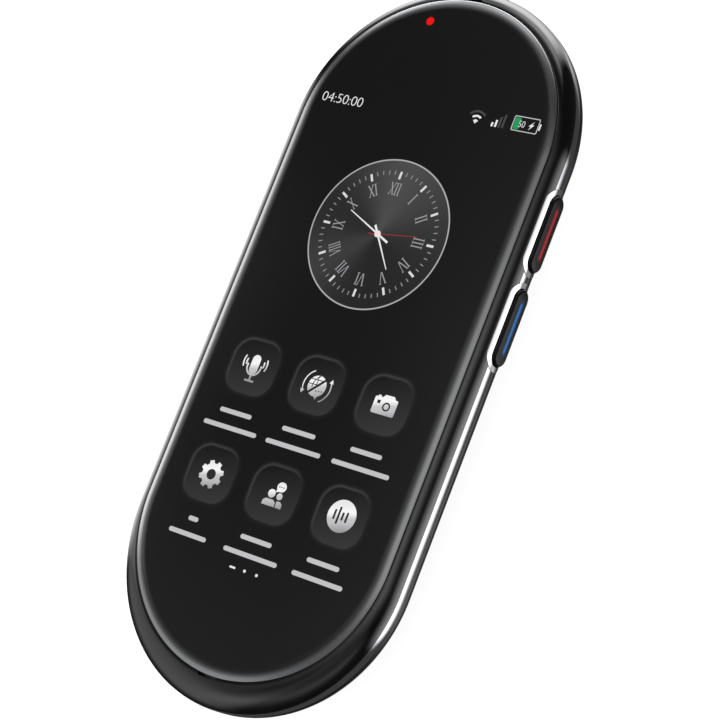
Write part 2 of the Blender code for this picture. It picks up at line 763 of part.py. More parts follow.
def make_cover():
    """The back cover: a shell that curves in to a flat back, with its openings."""
    outer = cover_rings(BODY_THICKNESS - COVER_DEPTH, BACK_ROUND_WIDTH, 0.0)
    inner = cover_rings(COVER_FLOOR_DEPTH - COVER_DEPTH, BACK_ROUND_WIDTH - COVER_WALL, COVER_WALL)
    rings = list(reversed(outer)) + inner
    cover = loft("back_cover", rings, BLACK_SATIN, closed_loop=False)
    for label, length, height, _tab, centre_of in key_places():
        cut(cover, collar_block(label + "_cover_notch", length, height, centre_of, NOTCH_GAP))
    floor = BODY_THICKNESS - COVER_WALL / 2
    x, y = camera_place()
    radius = TRIM_OUTER_RADIUS + KEY_GAP
    cut(cover, cylinder("camera_hole", radius, COVER_WALL + OVERRUN, spot(x, y, floor), None))
    radius = FLASH_RADIUS + KEY_GAP
    cut(cover, cylinder("flash_hole", radius, COVER_WALL + OVERRUN, spot(-x, y, floor), None))
    for index in range(GRILLE_SLOTS):
        y = -(SPEAKER_TOP + SPEAKER_BOTTOM) / 2 + (index - (GRILLE_SLOTS - 1) / 2) * GRILLE_PITCH
        slot = (GRILLE_SLOT_LENGTH, GRILLE_SLOT_WIDTH, COVER_WALL + OVERRUN)
        cut(cover, pill(f"grille_slot_{index}", *slot, spot(0, y, floor), None))
    size = (SOCKET_WIDTH + 2 * KEY_GAP, SOCKET_HEIGHT + 2 * KEY_GAP, 2 * SOCKET_LENGTH)
    centre = spot(0, -BODY_BOTTOM, socket_depth())
    cut(cover, pill("socket_hole", *size, centre, None, FACING_BOTTOM))


def camera_place():
    """Where the camera's axis meets the back, from the middle of the glass."""
    return -CAMERA_ACROSS, GLASS_LENGTH / 2 - CAMERA_TOP_SETBACK


def socket_depth():
    """The depth of the socket's axis."""
    return BOARD_DEPTH + USB_BOARD_THICKNESS + STACK_GAP + SOCKET_HEIGHT / 2


def socket_mouth():
    """How far from the middle of the glass the socket's mouth lies: just inside the cover's curve."""
    rise = (socket_depth() + SOCKET_HEIGHT / 2 - COVER_DEPTH) / (BODY_THICKNESS - COVER_DEPTH)
    inset = BACK_ROUND_WIDTH * (1 - math.sqrt(1 - rise * rise))
    return BODY_BOTTOM - inset - SOCKET_SUNK


def make_key(label, length, height, tab, centre_of, proud, edge):
    """A key cap with its retaining tabs, and the switch behind it."""
    seat = -FRAME_WALL + KEY_SEAT_RECESS - STACK_GAP
    rear = seat - TAB_THICKNESS
    finish = BLACK_SATIN if label == "power" else BLACK_GLOSS
    name = "power_key_cap" if label == "power" else label + "_button_cap"
    root = (seat + rear) / 2
    centre, facing = centre_of((proud + root) / 2)
    cap = pill(name, length, height, proud - root, centre, finish, facing)
    round_edges(cap, edge, segments=3)
    centre, facing = centre_of(root)
    tab_size = (length + 2 * TAB_LENGTH, tab, TAB_THICKNESS)
    join(cap, pill(label + "_tabs", *tab_size, centre, None, facing))
    moving = [cap]
    front = rear - STACK_GAP
    centre, facing = centre_of(front - PLUNGER_LENGTH / 2)
    size = (PLUNGER_RADIUS, PLUNGER_LENGTH, centre, GREY_METAL, facing)
    moving.append(cylinder(label + "_switch_plunger", *size))
    make_switch(label, centre_of, front)
    return cap, moving


def make_switch(label, centre_of, front):
    """A switch body whose bore holds the plunger, with room for the key's travel."""
    face = front - PLUNGER_LENGTH + PLUNGER_SUNK
    depth = PLUNGER_SUNK + KEY_TRAVEL + STACK_GAP
    body_depth = depth + SWITCH_FLOOR
    centre, facing = centre_of(face - body_depth / 2)
    size = (SWITCH_LENGTH, SWITCH_HEIGHT, body_depth)
    body = box(label + "_switch_body", size, centre, GREY_METAL, facing)
    centre, facing = centre_of(face)
    cut(body, cylinder(label + "_bore", PLUNGER_RADIUS + KEY_GAP, 2 * depth, centre, None, facing))
    return face - body_depth


def switch_rear():
    """How far in from the widest line the switches' backs lie."""
    front = -FRAME_WALL + KEY_SEAT_RECESS - TAB_THICKNESS - 2 * STACK_GAP
    face = front - PLUNGER_LENGTH + PLUNGER_SUNK
    return face - PLUNGER_SUNK - KEY_TRAVEL - STACK_GAP - SWITCH_FLOOR


def make_light_strip(label, cap, centre_of, finish):
    """The light strip let into a button's face."""
    thickness = STRIP_DEPTH + STRIP_PROUD
    centre, facing = centre_of(BUTTON_PROUD + STRIP_PROUD - thickness / 2)
    strip = pill(label + "_light_strip", STRIP_LENGTH, STRIP_WIDTH, thickness, centre, finish, facing)
    groove = (STRIP_LENGTH + 2 * STRIP_GAP, STRIP_WIDTH + 2 * STRIP_GAP, 2 * (STRIP_DEPTH + STRIP_GAP))
    centre, facing = centre_of(BUTTON_PROUD)
    cut(cap, pill(label + "_strip_groove", *groove, centre, None, facing))
    return strip


def make_keys():
    """Both side buttons and the power key."""
    for label, length, height, tab, centre_of in key_places():
        proud = POWER_PROUD if label == "power" else BUTTON_PROUD
        edge = POWER_EDGE if label == "power" else BUTTON_EDGE
        cap, moving = make_key(label, length, height, tab, centre_of, proud, edge)
        if label != "power":
            finish = RED_LIGHT if label == "red" else BLUE_LIGHT
            moving.append(make_light_strip(label, cap, centre_of, finish))
        position, _facing = centre_of(proud)
        attach(moving, label + "_axis", position)


def make_key_boards():
    """The two thin boards that carry the switches."""
    outward = switch_rear() - STACK_GAP - KEY_BOARD_THICKNESS / 2
    lower = FLANGE_DEPTH if FLANGE_DEPTH > CHASSIS_BACK else CHASSIS_BACK
    depth = lower + KEY_BOARD_HEIGHT / 2
    length = BUTTON_PITCH + SWITCH_LENGTH + 2 * KEY_BOARD_END
    size = (length, KEY_BOARD_HEIGHT, KEY_BOARD_THICKNESS)
    centre = side_spot(outward, RED_BUTTON_REACH - BUTTON_PITCH / 2, depth)
    box("side_key_board", size, centre, FLEX_AMBER, FACING_RIGHT)
    size = (SWITCH_LENGTH + KEY_BOARD_END, KEY_BOARD_HEIGHT, KEY_BOARD_THICKNESS)
    box("power_key_board", size, top_spot(outward, depth), FLEX_AMBER, FACING_TOP)


def make_indicator():
    """The light pipe that carries the indicator's red light from the chassis to the glass."""
    thickness = CHASSIS_DEPTH - STACK_GAP - DISPLAY_DEPTH
    along = GLASS_LENGTH / 2 - INDICATOR_TOP_SETBACK
    centre = spot(-INDICATOR_ACROSS, along, DISPLAY_DEPTH + thickness / 2)
    cylinder("indicator_light_pipe", INDICATOR_RADIUS, thickness, centre, RED_LIGHT)


def make_main_board():
    """The main board with its processor and shield."""
    outline = round_corner_points(2 * BOARD_HALF_WIDTH, BOARD_LENGTH, BOARD_CORNER)
    middle_y = (BOARD_TOP + BOARD_BOTTOM) / 2
    middle = spot(0, middle_y, BOARD_DEPTH + BOARD_THICKNESS / 2)
    board = flat_shape("main_board", [outline], BOARD_THICKNESS, middle, BOARD_GREEN)
    for index, (x, y) in enumerate(board_screw_places()):
        radius = SCREW_RADIUS + SCREW_GAP
        centre = spot(x, y, BOARD_DEPTH)
        cut(board, cylinder(f"board_hole_{index}", radius, OVERRUN, centre, None, steps=SCREW_STEPS))
    notch_edge = -switch_rear() + 2 * STACK_GAP + KEY_BOARD_THICKNESS + KEY_GAP
    reach = BUTTON_PITCH + SWITCH_LENGTH + 2 * KEY_BOARD_END + 2 * KEY_GAP
    centre = side_spot(0.0, RED_BUTTON_REACH - BUTTON_PITCH / 2, BOARD_DEPTH)
    cut(board, box("key_board_notch", (2 * notch_edge, reach, OVERRUN), centre, None))
    shield_y = BOARD_BOTTOM + SHIELD_EDGE + SHIELD_LENGTH / 2
    thickness = CHIP_THICKNESS
    centre = spot(0, shield_y, BOARD_BACK + STACK_GAP + thickness / 2)
    box("processor", (CHIP_SIZE, CHIP_SIZE, thickness), centre, BLACK_SATIN)
    top = BOARD_BACK + STACK_GAP
    centre = spot(0, shield_y, top + SHIELD_HEIGHT / 2)
    size = (2 * SHIELD_HALF_WIDTH, SHIELD_LENGTH, SHIELD_HEIGHT)
    shield = box("board_shield", size, centre, CELL_SILVER)
    width = 2 * SHIELD_HALF_WIDTH - 2 * SHIELD_WALL
    length = SHIELD_LENGTH - 2 * SHIELD_WALL
    inner = (width, length, 2 * (SHIELD_HEIGHT - SHIELD_WALL))
    cut(shield, box("shield_hollow", inner, spot(0, shield_y, top), None))


def make_battery():
    """The battery pouch, behind the chassis between the main board and the loudspeaker."""
    top = BOARD_BOTTOM - BATTERY_END_GAP
    bottom = -SPEAKER_TOP + BATTERY_END_GAP
    width = GLASS_WIDTH - 2 * BATTERY_SIDE_SETBACK
    centre = spot(0, (top + bottom) / 2, CHASSIS_BACK + STACK_GAP + BATTERY_THICKNESS / 2)
    battery = box("battery", (width, top - bottom, BATTERY_THICKNESS), centre, CELL_SILVER)
    round_edges(battery, BATTERY_CORNER, segments=3)


def make_camera():
    """The rear camera: module, trim ring and window, and the flash beside it."""
    x, y = camera_place()
    base_top = BOARD_BACK + STACK_GAP
    window_back = BODY_THICKNESS - WINDOW_SUNK
    window_front = window_back - WINDOW_THICKNESS
    room = window_front - STACK_GAP - base_top
    base = CAMERA_BASE_SHARE * room
    centre = spot(x, y, base_top + base / 2)
    module = box("camera_module", (CAMERA_SIZE, CAMERA_SIZE, base), centre, BLACK_SATIN)
    centre = spot(x, y, base_top + room / 2 + base / 4)
    barrel = cylinder("camera_barrel", CAMERA_BARREL_RADIUS, room - base / 2, centre, None)
    join(module, barrel)
    height = COVER_WALL - TRIM_SUNK
    centre = spot(x, y, BODY_THICKNESS - TRIM_SUNK - height / 2)
    trim = cylinder("camera_trim_ring", TRIM_OUTER_RADIUS, height, centre, BRIGHT_METAL)
    cut(trim, cylinder("trim_bore", TRIM_INNER_RADIUS, height + OVERRUN, centre, None))
    round_edges(trim, TRIM_EDGE)
    radius = TRIM_INNER_RADIUS - KEY_GAP
    centre = spot(x, y, window_back - WINDOW_THICKNESS / 2)
    cylinder("camera_window", radius, WINDOW_THICKNESS, centre, BLACK_GLASS)
    centre = spot(-x, y, BODY_THICKNESS - TRIM_SUNK - FLASH_THICKNESS / 2)
    cylinder("flash_lens", FLASH_RADIUS, FLASH_THICKNESS, centre, CLEAR_LENS)
    centre = spot(-x, y, base_top + FLASH_LED_THICKNESS / 2)
    box("flash_led", (FLASH_LED_SIZE, FLASH_LED_SIZE, FLASH_LED_THICKNESS), centre, CLEAR_LENS)


def make_speaker():
    """The loudspeaker and the mesh between it and the grille slots."""
    mesh_back = COVER_FLOOR_DEPTH - STACK_GAP
    y = -(SPEAKER_TOP + SPEAKER_BOTTOM) / 2
    centre = spot(0, y, mesh_back - MESH_THICKNESS / 2)
    width = GRILLE_SLOT_LENGTH + 2 * GRILLE_MESH_EDGE
    length = GRILLE_PITCH * (GRILLE_SLOTS - 1) + GRILLE_SLOT_WIDTH + 2 * GRILLE_MESH_EDGE
    outline = round_corner_points(width, length, GRILLE_MESH_EDGE)
    flat_shape("speaker_mesh", [outline], MESH_THICKNESS, centre, DARK_MESH)
    back = mesh_back - MESH_THICKNESS - STACK_GAP
    centre = spot(0, y, back - SPEAKER_THICKNESS / 2)
    size = (SPEAKER_WIDTH, SPEAKER_LENGTH, SPEAKER_THICKNESS)
    speaker = box("loudspeaker", size, centre, BLACK_SATIN)
    round_edges(speaker, SPEAKER_CORNER)


def make_bottom_end():
    """The socket on its board, the microphone and the vibration motor."""
    y = -(USB_BOARD_TOP + USB_BOARD_BOTTOM) / 2
    centre = spot(0, y, BOARD_DEPTH + USB_BOARD_THICKNESS / 2)
    size = (USB_BOARD_WIDTH, USB_BOARD_LENGTH, USB_BOARD_THICKNESS)
    board = box("usb_board", size, centre, BOARD_GREEN)
    for index, (x, hole_y) in enumerate(usb_screw_places()):
        radius = SCREW_RADIUS + SCREW_GAP
        centre = spot(x, hole_y, BOARD_DEPTH)
        cut(board, cylinder(f"usb_hole_{index}", radius, OVERRUN, centre, None, steps=SCREW_STEPS))
    mouth = -socket_mouth()
    centre = spot(0, mouth + SOCKET_LENGTH / 2, socket_depth())
    size = (SOCKET_WIDTH, SOCKET_HEIGHT, SOCKET_LENGTH)
    socket = pill("usb_socket", *size, centre, CELL_SILVER, FACING_BOTTOM)
    width = SOCKET_WIDTH - 2 * SOCKET_WALL
    height = SOCKET_HEIGHT - 2 * SOCKET_WALL
    inner = (width, height, 2 * (SOCKET_LENGTH - SOCKET_FLOOR))
    hollow = pill("socket_hollow", *inner, spot(0, mouth, socket_depth()), None, FACING_BOTTOM)
    cut(socket, hollow)
    length = TONGUE_LENGTH + SOCKET_FLOOR / 2
    root = mouth + SOCKET_LENGTH - SOCKET_FLOOR / 2
    tongue = (TONGUE_WIDTH, TONGUE_THICKNESS, length)
    centre = spot(0, root - length / 2, socket_depth())
    join(socket, box("socket_tongue", tongue, centre, None, FACING_BOTTOM))
    depth = BOARD_DEPTH - STACK_GAP - MICROPHONE_HEIGHT / 2
    centre = spot(0, -(USB_BOARD_BOTTOM - MICROPHONE_LENGTH), depth)
    box("microphone", (MICROPHONE_WIDTH, MICROPHONE_LENGTH, MICROPHONE_HEIGHT), centre, CELL_SILVER)
    x = SPEAKER_WIDTH / 2 + MOTOR_GAP + MOTOR_RADIUS
    y = -(SPEAKER_TOP + MOTOR_RADIUS)
    centre = spot(x, y, CHASSIS_BACK + STACK_GAP + MOTOR_THICKNESS / 2)
    cylinder("vibration_motor", MOTOR_RADIUS, MOTOR_THICKNESS, centre, CELL_SILVER)


def make_top_end():
    """The earpiece receiver and the antenna, both on the back of the chassis."""
    y = BOARD_TOP + RECEIVER_BOARD_GAP + RECEIVER_LENGTH / 2
    centre = spot(0, y, CHASSIS_BACK + STACK_GAP + RECEIVER_THICKNESS / 2)
    box("earpiece_receiver", (RECEIVER_WIDTH, RECEIVER_LENGTH, RECEIVER_THICKNESS), centre, CELL_SILVER)
    x = -(RECEIVER_WIDTH / 2 + ANTENNA_GAP + ANTENNA_WIDTH / 2)
    centre = spot(x, y, CHASSIS_BACK + STACK_GAP + ANTENNA_THICKNESS / 2)
    box("antenna", (ANTENNA_WIDTH, ANTENNA_LENGTH, ANTENNA_THICKNESS), centre, FLEX_AMBER)


make_glass()
make_adhesive()
make_display()
make_housing()
make_slot_meshes()
make_frame()
make_chassis()
make_cover()
make_keys()
make_key_boards()
make_indicator()
make_main_board()
make_screws()
make_battery()
make_camera()
make_speaker()
make_bottom_end()
make_top_end()
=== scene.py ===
"""A pill-shaped handheld translator on a pale studio table, with its glass facing up.

Laid out as an add-on and run as a script. The long axis runs along Y and the talk buttons are on +X.
Lengths are in metres. Screen graphics alone are placed in millimetres from the middle of the glass.
"""

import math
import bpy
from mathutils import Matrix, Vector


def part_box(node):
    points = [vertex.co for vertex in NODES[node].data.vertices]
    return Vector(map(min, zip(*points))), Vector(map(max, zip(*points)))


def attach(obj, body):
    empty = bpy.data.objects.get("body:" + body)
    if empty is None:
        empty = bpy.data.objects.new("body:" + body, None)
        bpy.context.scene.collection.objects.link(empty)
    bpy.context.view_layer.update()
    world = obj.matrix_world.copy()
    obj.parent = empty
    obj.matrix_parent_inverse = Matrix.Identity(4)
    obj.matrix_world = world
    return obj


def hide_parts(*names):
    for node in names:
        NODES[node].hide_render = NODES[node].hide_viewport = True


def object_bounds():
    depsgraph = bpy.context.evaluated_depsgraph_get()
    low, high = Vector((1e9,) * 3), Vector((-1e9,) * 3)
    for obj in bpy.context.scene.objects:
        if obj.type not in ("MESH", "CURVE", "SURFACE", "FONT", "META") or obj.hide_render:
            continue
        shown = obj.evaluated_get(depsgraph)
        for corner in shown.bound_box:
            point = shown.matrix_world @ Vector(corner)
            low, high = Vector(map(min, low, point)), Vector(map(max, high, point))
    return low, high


bl_info = {
    "name": "Handheld Translator",
    "version": (1, 0, 0),
    "blender": (4, 5, 0),
    "location": "3D View > Sidebar > Translator",
    "description": "Dresses the packed frame of a handheld translator",
    "category": "Object",
}

import bmesh
import bpy
from mathutils import Matrix, Vector

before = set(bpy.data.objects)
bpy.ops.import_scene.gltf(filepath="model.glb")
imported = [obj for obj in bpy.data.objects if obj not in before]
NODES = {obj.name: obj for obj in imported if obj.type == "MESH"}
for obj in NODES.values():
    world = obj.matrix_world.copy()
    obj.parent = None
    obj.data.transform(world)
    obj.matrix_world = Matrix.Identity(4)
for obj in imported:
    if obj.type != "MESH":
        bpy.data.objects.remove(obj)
CAD_BOX = [list(corner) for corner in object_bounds()]


def middle(node):
    """The middle of a node's box."""
    low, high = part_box(node)
    return (low + high) / 2


def extent(node):
    """The size of a node's box."""
    low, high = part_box(node)
    return high - low


MM = 0.001
GLASS_MIDDLE = middle("cover_glass")
GLASS_LOW, GLASS_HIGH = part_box("cover_glass")
HOUSING_LOW, HOUSING_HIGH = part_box("front_housing")
GLASS_HALF = extent("cover_glass").x / 2
GLASS_REACH = extent("cover_glass").y / 2
SIDE_MARGIN = extent("front_housing").x / 2 - GLASS_HALF
TOP_MARGIN = HOUSING_HIGH.y - GLASS_HIGH.y
BOTTOM_MARGIN = GLASS_LOW.y - HOUSING_LOW.y
FACE = GLASS_HIGH.z

# Depths below the glass's face
HOUSING_EDGE = 0.0005
SHOULDER_END = 0.00246
BAND_START, BAND_END = 0.00250, 0.00422
WIDEST = 0.0030
COVER_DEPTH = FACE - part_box("back_cover")[1].z
SCREEN = 0.00004
PANEL_LAYER, GLYPH_LAYER, DETAIL_LAYER = 0.00003, 0.00002, 0.00001

BACK_ROUND = 0.0140
PLATE_SINK = 0.00002
NOTCH_GAP = 0.00004
COLLAR_IN, COLLAR_OUT = 0.0020, 0.0022
POWER_LENGTH = 0.0074
MERGE = 0.0000005
SHELL_POINTS, PILL_POINTS, SMALL_POINTS = 192, 64, 24
SCREEN_GLOW = 0.25
BLACK = (0.0, 0.0, 0.0, 1.0)
WHITE = (1.0, 1.0, 1.0, 1.0)

FACING_RIGHT = Matrix(((0, 0, 1), (1, 0, 0), (0, 1, 0)))
FACING_TOP = Matrix(((-1, 0, 0), (0, 0, 1), (0, 1, 0)))
FACING_BOTTOM = Matrix(((1, 0, 0), (0, 0, -1), (0, 1, 0)))


def tone(red, green, blue):
    """A colour given as it looks on a display, from 0 to 255, as linear light."""
    shares = [value / 255 for value in (red, green, blue)]
    return (*(share / 12.92 if share <= 0.04045 else ((share + 0.055) / 1.055) ** 2.4 for share in shares), 1.0)


def dimmed(colour, share):
    """A colour with its light cut to a share."""
    return (*(channel * share for channel in colour[:3]), 1.0)


def polar(radius, degrees):
    """The point at a radius and an angle from +X."""
    return radius * math.cos(math.radians(degrees)), radius * math.sin(math.radians(degrees))


# Mesh tools: those without a piece work on the one being edited


def activate(piece):
    """Make a piece the only selected one."""
    bpy.ops.object.select_all(action="DESELECT")
    piece.select_set(True)
    bpy.context.view_layer.objects.active = piece


def start_piece(name):
    """Begin an empty mesh and open it for editing."""
    bpy.ops.object.select_all(action="DESELECT")
    bpy.ops.object.add(type="MESH", location=(0, 0, 0))
    piece = bpy.context.object
    piece.name = piece.data.name = name
    bpy.ops.object.mode_set(mode="EDIT")
    bpy.ops.mesh.select_mode(type="VERT")


def pick(wanted):
    """Select the points that pass a test of their number and place."""
    mesh = bpy.context.object.data
    edit = bmesh.from_edit_mesh(mesh)
    for number, point in enumerate(edit.verts):
        point.select = wanted(number, point.co)
    edit.select_flush_mode()
    bmesh.update_edit_mesh(mesh, loop_triangles=False, destructive=False)


def picked():
    """The numbers and places of the selected points."""
    points = bmesh.from_edit_mesh(bpy.context.object.data).verts
    return {number: point.co.copy() for number, point in enumerate(points) if point.select}


def outline(radius, height, spread=(0, 0, 0, 0), centre=(0, 0), turn=0.0, points=SMALL_POINTS):
    """Add a circle and pull it apart to the right, left, up and down. Returns its points."""
    origin = Vector((*centre, height))
    bpy.ops.mesh.primitive_circle_add(
        vertices=points, radius=radius, location=origin, rotation=(0, 0, turn + math.pi / points))
    fresh = picked()
    across = Vector((math.cos(turn), math.sin(turn), 0))
    along = Vector((-math.sin(turn), math.cos(turn), 0))
    for way, reach in zip((across, -across, along, -along), spread):
        if reach:
            pick(lambda number, place: number in fresh and (place - origin).dot(way) > 0)
            bpy.ops.transform.translate(value=way * reach)
    return fresh


def cap(numbers):
    """Close an outline with a face."""
    pick(lambda number, place: number in numbers)
    bpy.ops.mesh.edge_face_add()


def grow(numbers, old, new, centre=(0, 0)):
    """Extrude an outline from one (radius, height, spread) to the next. Returns the new points."""
    pick(lambda number, place: number in numbers)
    bpy.ops.mesh.extrude_edges_move(TRANSFORM_OT_translate={"value": (0, 0, new[1] - old[1])})
    fresh = picked()
    origin = Vector((*centre, new[1]))
    parts = [Vector((0, 0, 0))]
    if any(old[2][:2]) or any(new[2][:2]):
        parts = [Vector((side, 0, 0)) for side in (1, -1)]
    if any(old[2][2:]) or any(new[2][2:]):
        parts = [part + Vector((0, side, 0)) for part in parts for side in (1, -1)]
    for part in parts:
        pick(lambda number, place: number in fresh
             and (place.x - origin.x) * part.x >= 0 and (place.y - origin.y) * part.y >= 0)
        was, now = [
            Vector((part.x * spread[0 if part.x > 0 else 1], part.y * spread[2 if part.y > 0 else 3], 0))
            for spread in (old[2], new[2])
        ]
        factor = new[0] / old[0]
        if abs(factor - 1) > 1e-9:
            bpy.ops.transform.resize(value=(factor, factor, 1), center_override=origin + was)
        if (now - was).length > 1e-9:
            bpy.ops.transform.translate(value=now - was)
    return fresh


def loft(rings, centre=(0, 0), points=PILL_POINTS, loop=False, ends=True):
    """Grow a skin through rings of (radius, height, spread), and close its ends, or its end to its start."""
    radius, height, spread = rings[0]
    numbers = first = outline(radius, height, spread, centre, points=points)
    for old, new in zip(rings, rings[1:]):
        numbers = grow(numbers, old, new, centre)
    if loop:
        grow(numbers, rings[-1], rings[0], centre)
    elif ends:
        cap(first)
        cap(numbers)
    return first, numbers


def drop(thickness):
    """Extrude what is selected straight down."""
    bpy.ops.mesh.extrude_region_move(TRANSFORM_OT_translate={"value": (0, 0, -thickness)})


def merge(distance=MERGE):
    """Join points that lie together."""
    bpy.ops.mesh.select_all(action="SELECT")
    bpy.ops.mesh.remove_doubles(threshold=distance)


def shade(piece, angle=30.0):
    """Smooth shading up to an angle."""
    activate(piece)
    bpy.ops.object.shade_smooth_by_angle(angle=math.radians(angle))


def close_piece(angle=30.0):
    """Join the ends of loops, turn every face outwards, leave edit mode and shade the piece."""
    merge()
    bpy.ops.mesh.normals_make_consistent(inside=False)
    bpy.ops.object.mode_set(mode="OBJECT")
    shade(bpy.context.object, angle)
    return bpy.context.object


def settle(piece, centre, facing=Matrix.Identity(3)):
    """Move a piece that was made at the origin to its place, and put the place into its mesh."""
    piece.matrix_world = Matrix.Translation(centre) @ facing.to_4x4()
    activate(piece)
    bpy.ops.object.transform_apply(location=True, rotation=True, scale=True)
    return piece


def carve(piece, tool, operation="DIFFERENCE"):
    """Cut a tool out of a piece, join it, or keep only what they share."""
    step = piece.modifiers.new("carve", "BOOLEAN")
    step.operation, step.solver, step.object = operation, "EXACT", tool
    activate(piece)
    bpy.ops.object.modifier_apply(modifier=step.name)
    bpy.data.objects.remove(tool, do_unlink=True)


def pill_rings(length, height, profile):
    """Rings of a pill that is long along X, through a profile of (inset, level)."""
    reach = (length - height) / 2
    return [(height / 2 - inset, level, (reach, reach, 0, 0)) for inset, level in profile]


def pill_block(name, length, height, low, high, points=PILL_POINTS):
    """A straight pill-shaped block along its own Z, long along X."""
    start_piece(name)
    radius, level, spread = pill_rings(length, height, ((0.0, high),))[0]
    cap(outline(radius, level, spread, points=points))
    drop(high - low)
    return close_piece()


def dress(piece, material, body, slot, *replaced):
    """Give a piece its material and body, and hide the nodes that it stands for. The slot is not used."""
    piece.data.materials.clear()
    piece.data.materials.append(material)
    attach(piece, body)
    if replaced:
        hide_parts(*replaced)
    return piece


# Body curves: points of (share, inset, depth)


def body_ring(share, inset, depth):
    """The body's outline between the glass (share 0) and its widest line (share 1)."""
    half = GLASS_HALF + share * SIDE_MARGIN - inset
    up = GLASS_REACH + share * TOP_MARGIN - inset - half
    down = GLASS_REACH + share * BOTTOM_MARGIN - inset - half
    return half, FACE - depth, (0, 0, up, down)


def body_shell(name, curve, loop=False):
    """Skin a shell through a body curve."""
    start_piece(name)
    loft([body_ring(*point) for point in curve], GLASS_MIDDLE[:2], SHELL_POINTS, loop)
    return close_piece()


def shoulder_curve(start, end_depth, proud=0.0, steps=40):
    """The glossy shoulder from the seam at the glass down to a depth: a quarter ellipse."""
    fall = WIDEST - HOUSING_EDGE
    last = math.acos((WIDEST - end_depth) / fall)
    turns = [start + (last - start) * step / steps for step in range(steps + 1)]
    return [(math.sin(turn), -proud, WIDEST - fall * math.cos(turn)) for turn in turns]


def cover_curve(steps, start_depth, floor, width, inset=0.0):
    """The back's rounding, from below its upper edge in to the flat back."""
    turns = [math.pi / 2 * step / steps for step in range(1, steps + 1)]
    return [(1.0, inset + width * (1 - math.cos(turn)), start_depth + (floor - start_depth) * math.sin(turn))
            for turn in turns]


# Material tools


class Signal:
    """A node's output, ready for arithmetic."""

    def __init__(self, tree, socket):
        self.tree, self.socket = tree, socket

    def step(self, operation, *others):
        """One step of arithmetic with other values."""
        return add(self.tree, "ShaderNodeMath", dict(enumerate((self, *others))), operation=operation)[0]

    def span(self, low, high, out_low=0.0, out_high=1.0, kind="SMOOTHSTEP"):
        """Carry the value from one range to another."""
        values = {"Value": self, "From Min": low, "From Max": high, "To Min": out_low, "To Max": out_high}
        return add(self.tree, "ShaderNodeMapRange", values, interpolation_type=kind)[0]

    def __add__(self, other):
        return self.step("ADD", other)

    def __sub__(self, other):
        return self.step("SUBTRACT", other)

    def __rsub__(self, other):
        return add(self.tree, "ShaderNodeMath", {0: other, 1: self}, operation="SUBTRACT")[0]

    def __mul__(self, other):
        return self.step("MULTIPLY", other)

    def __truediv__(self, other):
        return self.step("DIVIDE", other)

    def __pow__(self, other):
        return self.step("POWER", other)

    def __abs__(self):
        return self.step("ABSOLUTE")


def feed(tree, node, values):
    """Set a node's inputs, or link them where the value is a signal."""
    for key, value in values.items():
        if isinstance(value, Signal):
            tree.links.new(value.socket, node.inputs[key])
        else:
            node.inputs[key].default_value = value


def add(tree, kind, values=None, **settings):
    """Add a shader node with its settings and inputs. Returns its outputs."""
    node = tree.nodes.new(kind)
    for key, value in settings.items():
        setattr(node, key, value)
    feed(tree, node, values or {})
    return [Signal(tree, socket) for socket in node.outputs]


def source(tree, kind, name):
    """One named output of an input node."""
    return Signal(tree, tree.nodes.new(kind).outputs[name])


def split(vector):
    """A vector's three parts."""
    return add(vector.tree, "ShaderNodeSeparateXYZ", {0: vector})


def own_place(tree):
    """The place of a surface point in the object's own frame."""
    return source(tree, "ShaderNodeTexCoord", "Object")


def hypot(first, second):
    """The length of a flat vector."""
    return (first * first + second * second).step("SQRT")


def blend(factor, first, second):
    """Mix two colours."""
    return add(factor.tree, "ShaderNodeMix", {0: factor, 6: first, 7: second}, data_type="RGBA")[2]


def noise(tree, place, scale, detail):
    """Soft noise round a half."""
    return add(tree, "ShaderNodeTexNoise", {"Vector": place, "Scale": scale, "Detail": detail})[0]


def bump(height, distance, strength=0.5):
    """A normal that follows a height."""
    return add(height.tree, "ShaderNodeBump", {"Height": height, "Distance": distance, "Strength": strength})[0]


def ramp(factor, stops, ease="EASE"):
    """A colour ramp through (place, colour) stops."""
    node = factor.tree.nodes.new("ShaderNodeValToRGB")
    feed(factor.tree, node, {0: factor})
    node.color_ramp.interpolation = ease
    band = node.color_ramp.elements
    band.remove(band[1])
    band[0].position = stops[0][0]
    for place, _ in stops[1:]:
        band.new(place)
    for element, (_, colour) in zip(band, stops):
        element.color = colour
    return Signal(factor.tree, node.outputs[0])


def start_group(name, inputs, outputs):
    """An empty node group. Returns its tree, what it is given and its result node."""
    tree = bpy.data.node_groups.new(name, "ShaderNodeTree")
    for label, default in inputs.items():
        tree.interface.new_socket(name=label, in_out="INPUT", socket_type="NodeSocketFloat").default_value = default
    for label in outputs:
        tree.interface.new_socket(name=label, in_out="OUTPUT", socket_type="NodeSocketFloat")
    given = tree.nodes.new("NodeGroupInput")
    return tree, [Signal(tree, given.outputs[label]) for label in inputs], tree.nodes.new("NodeGroupOutput")


def make_grain_group():
    """Fine grain over soft patches: a value between two limits, the grain's height and the patches."""
    tree, (scale, low, high, blotch), result = start_group(
        "fine_grain", {"Scale": 2000.0, "Low": 0.1, "High": 0.2, "Blotch": 60.0}, ("Value", "Height", "Patch"))
    place = own_place(tree)
    fine, soft = noise(tree, place, scale, 2.0), noise(tree, place, blotch, 3.0)
    value = (fine * 0.4 + soft * 0.6).span(0.3, 0.7, low, high, "LINEAR")
    feed(tree, result, {"Value": value, "Height": fine, "Patch": soft})
    return tree


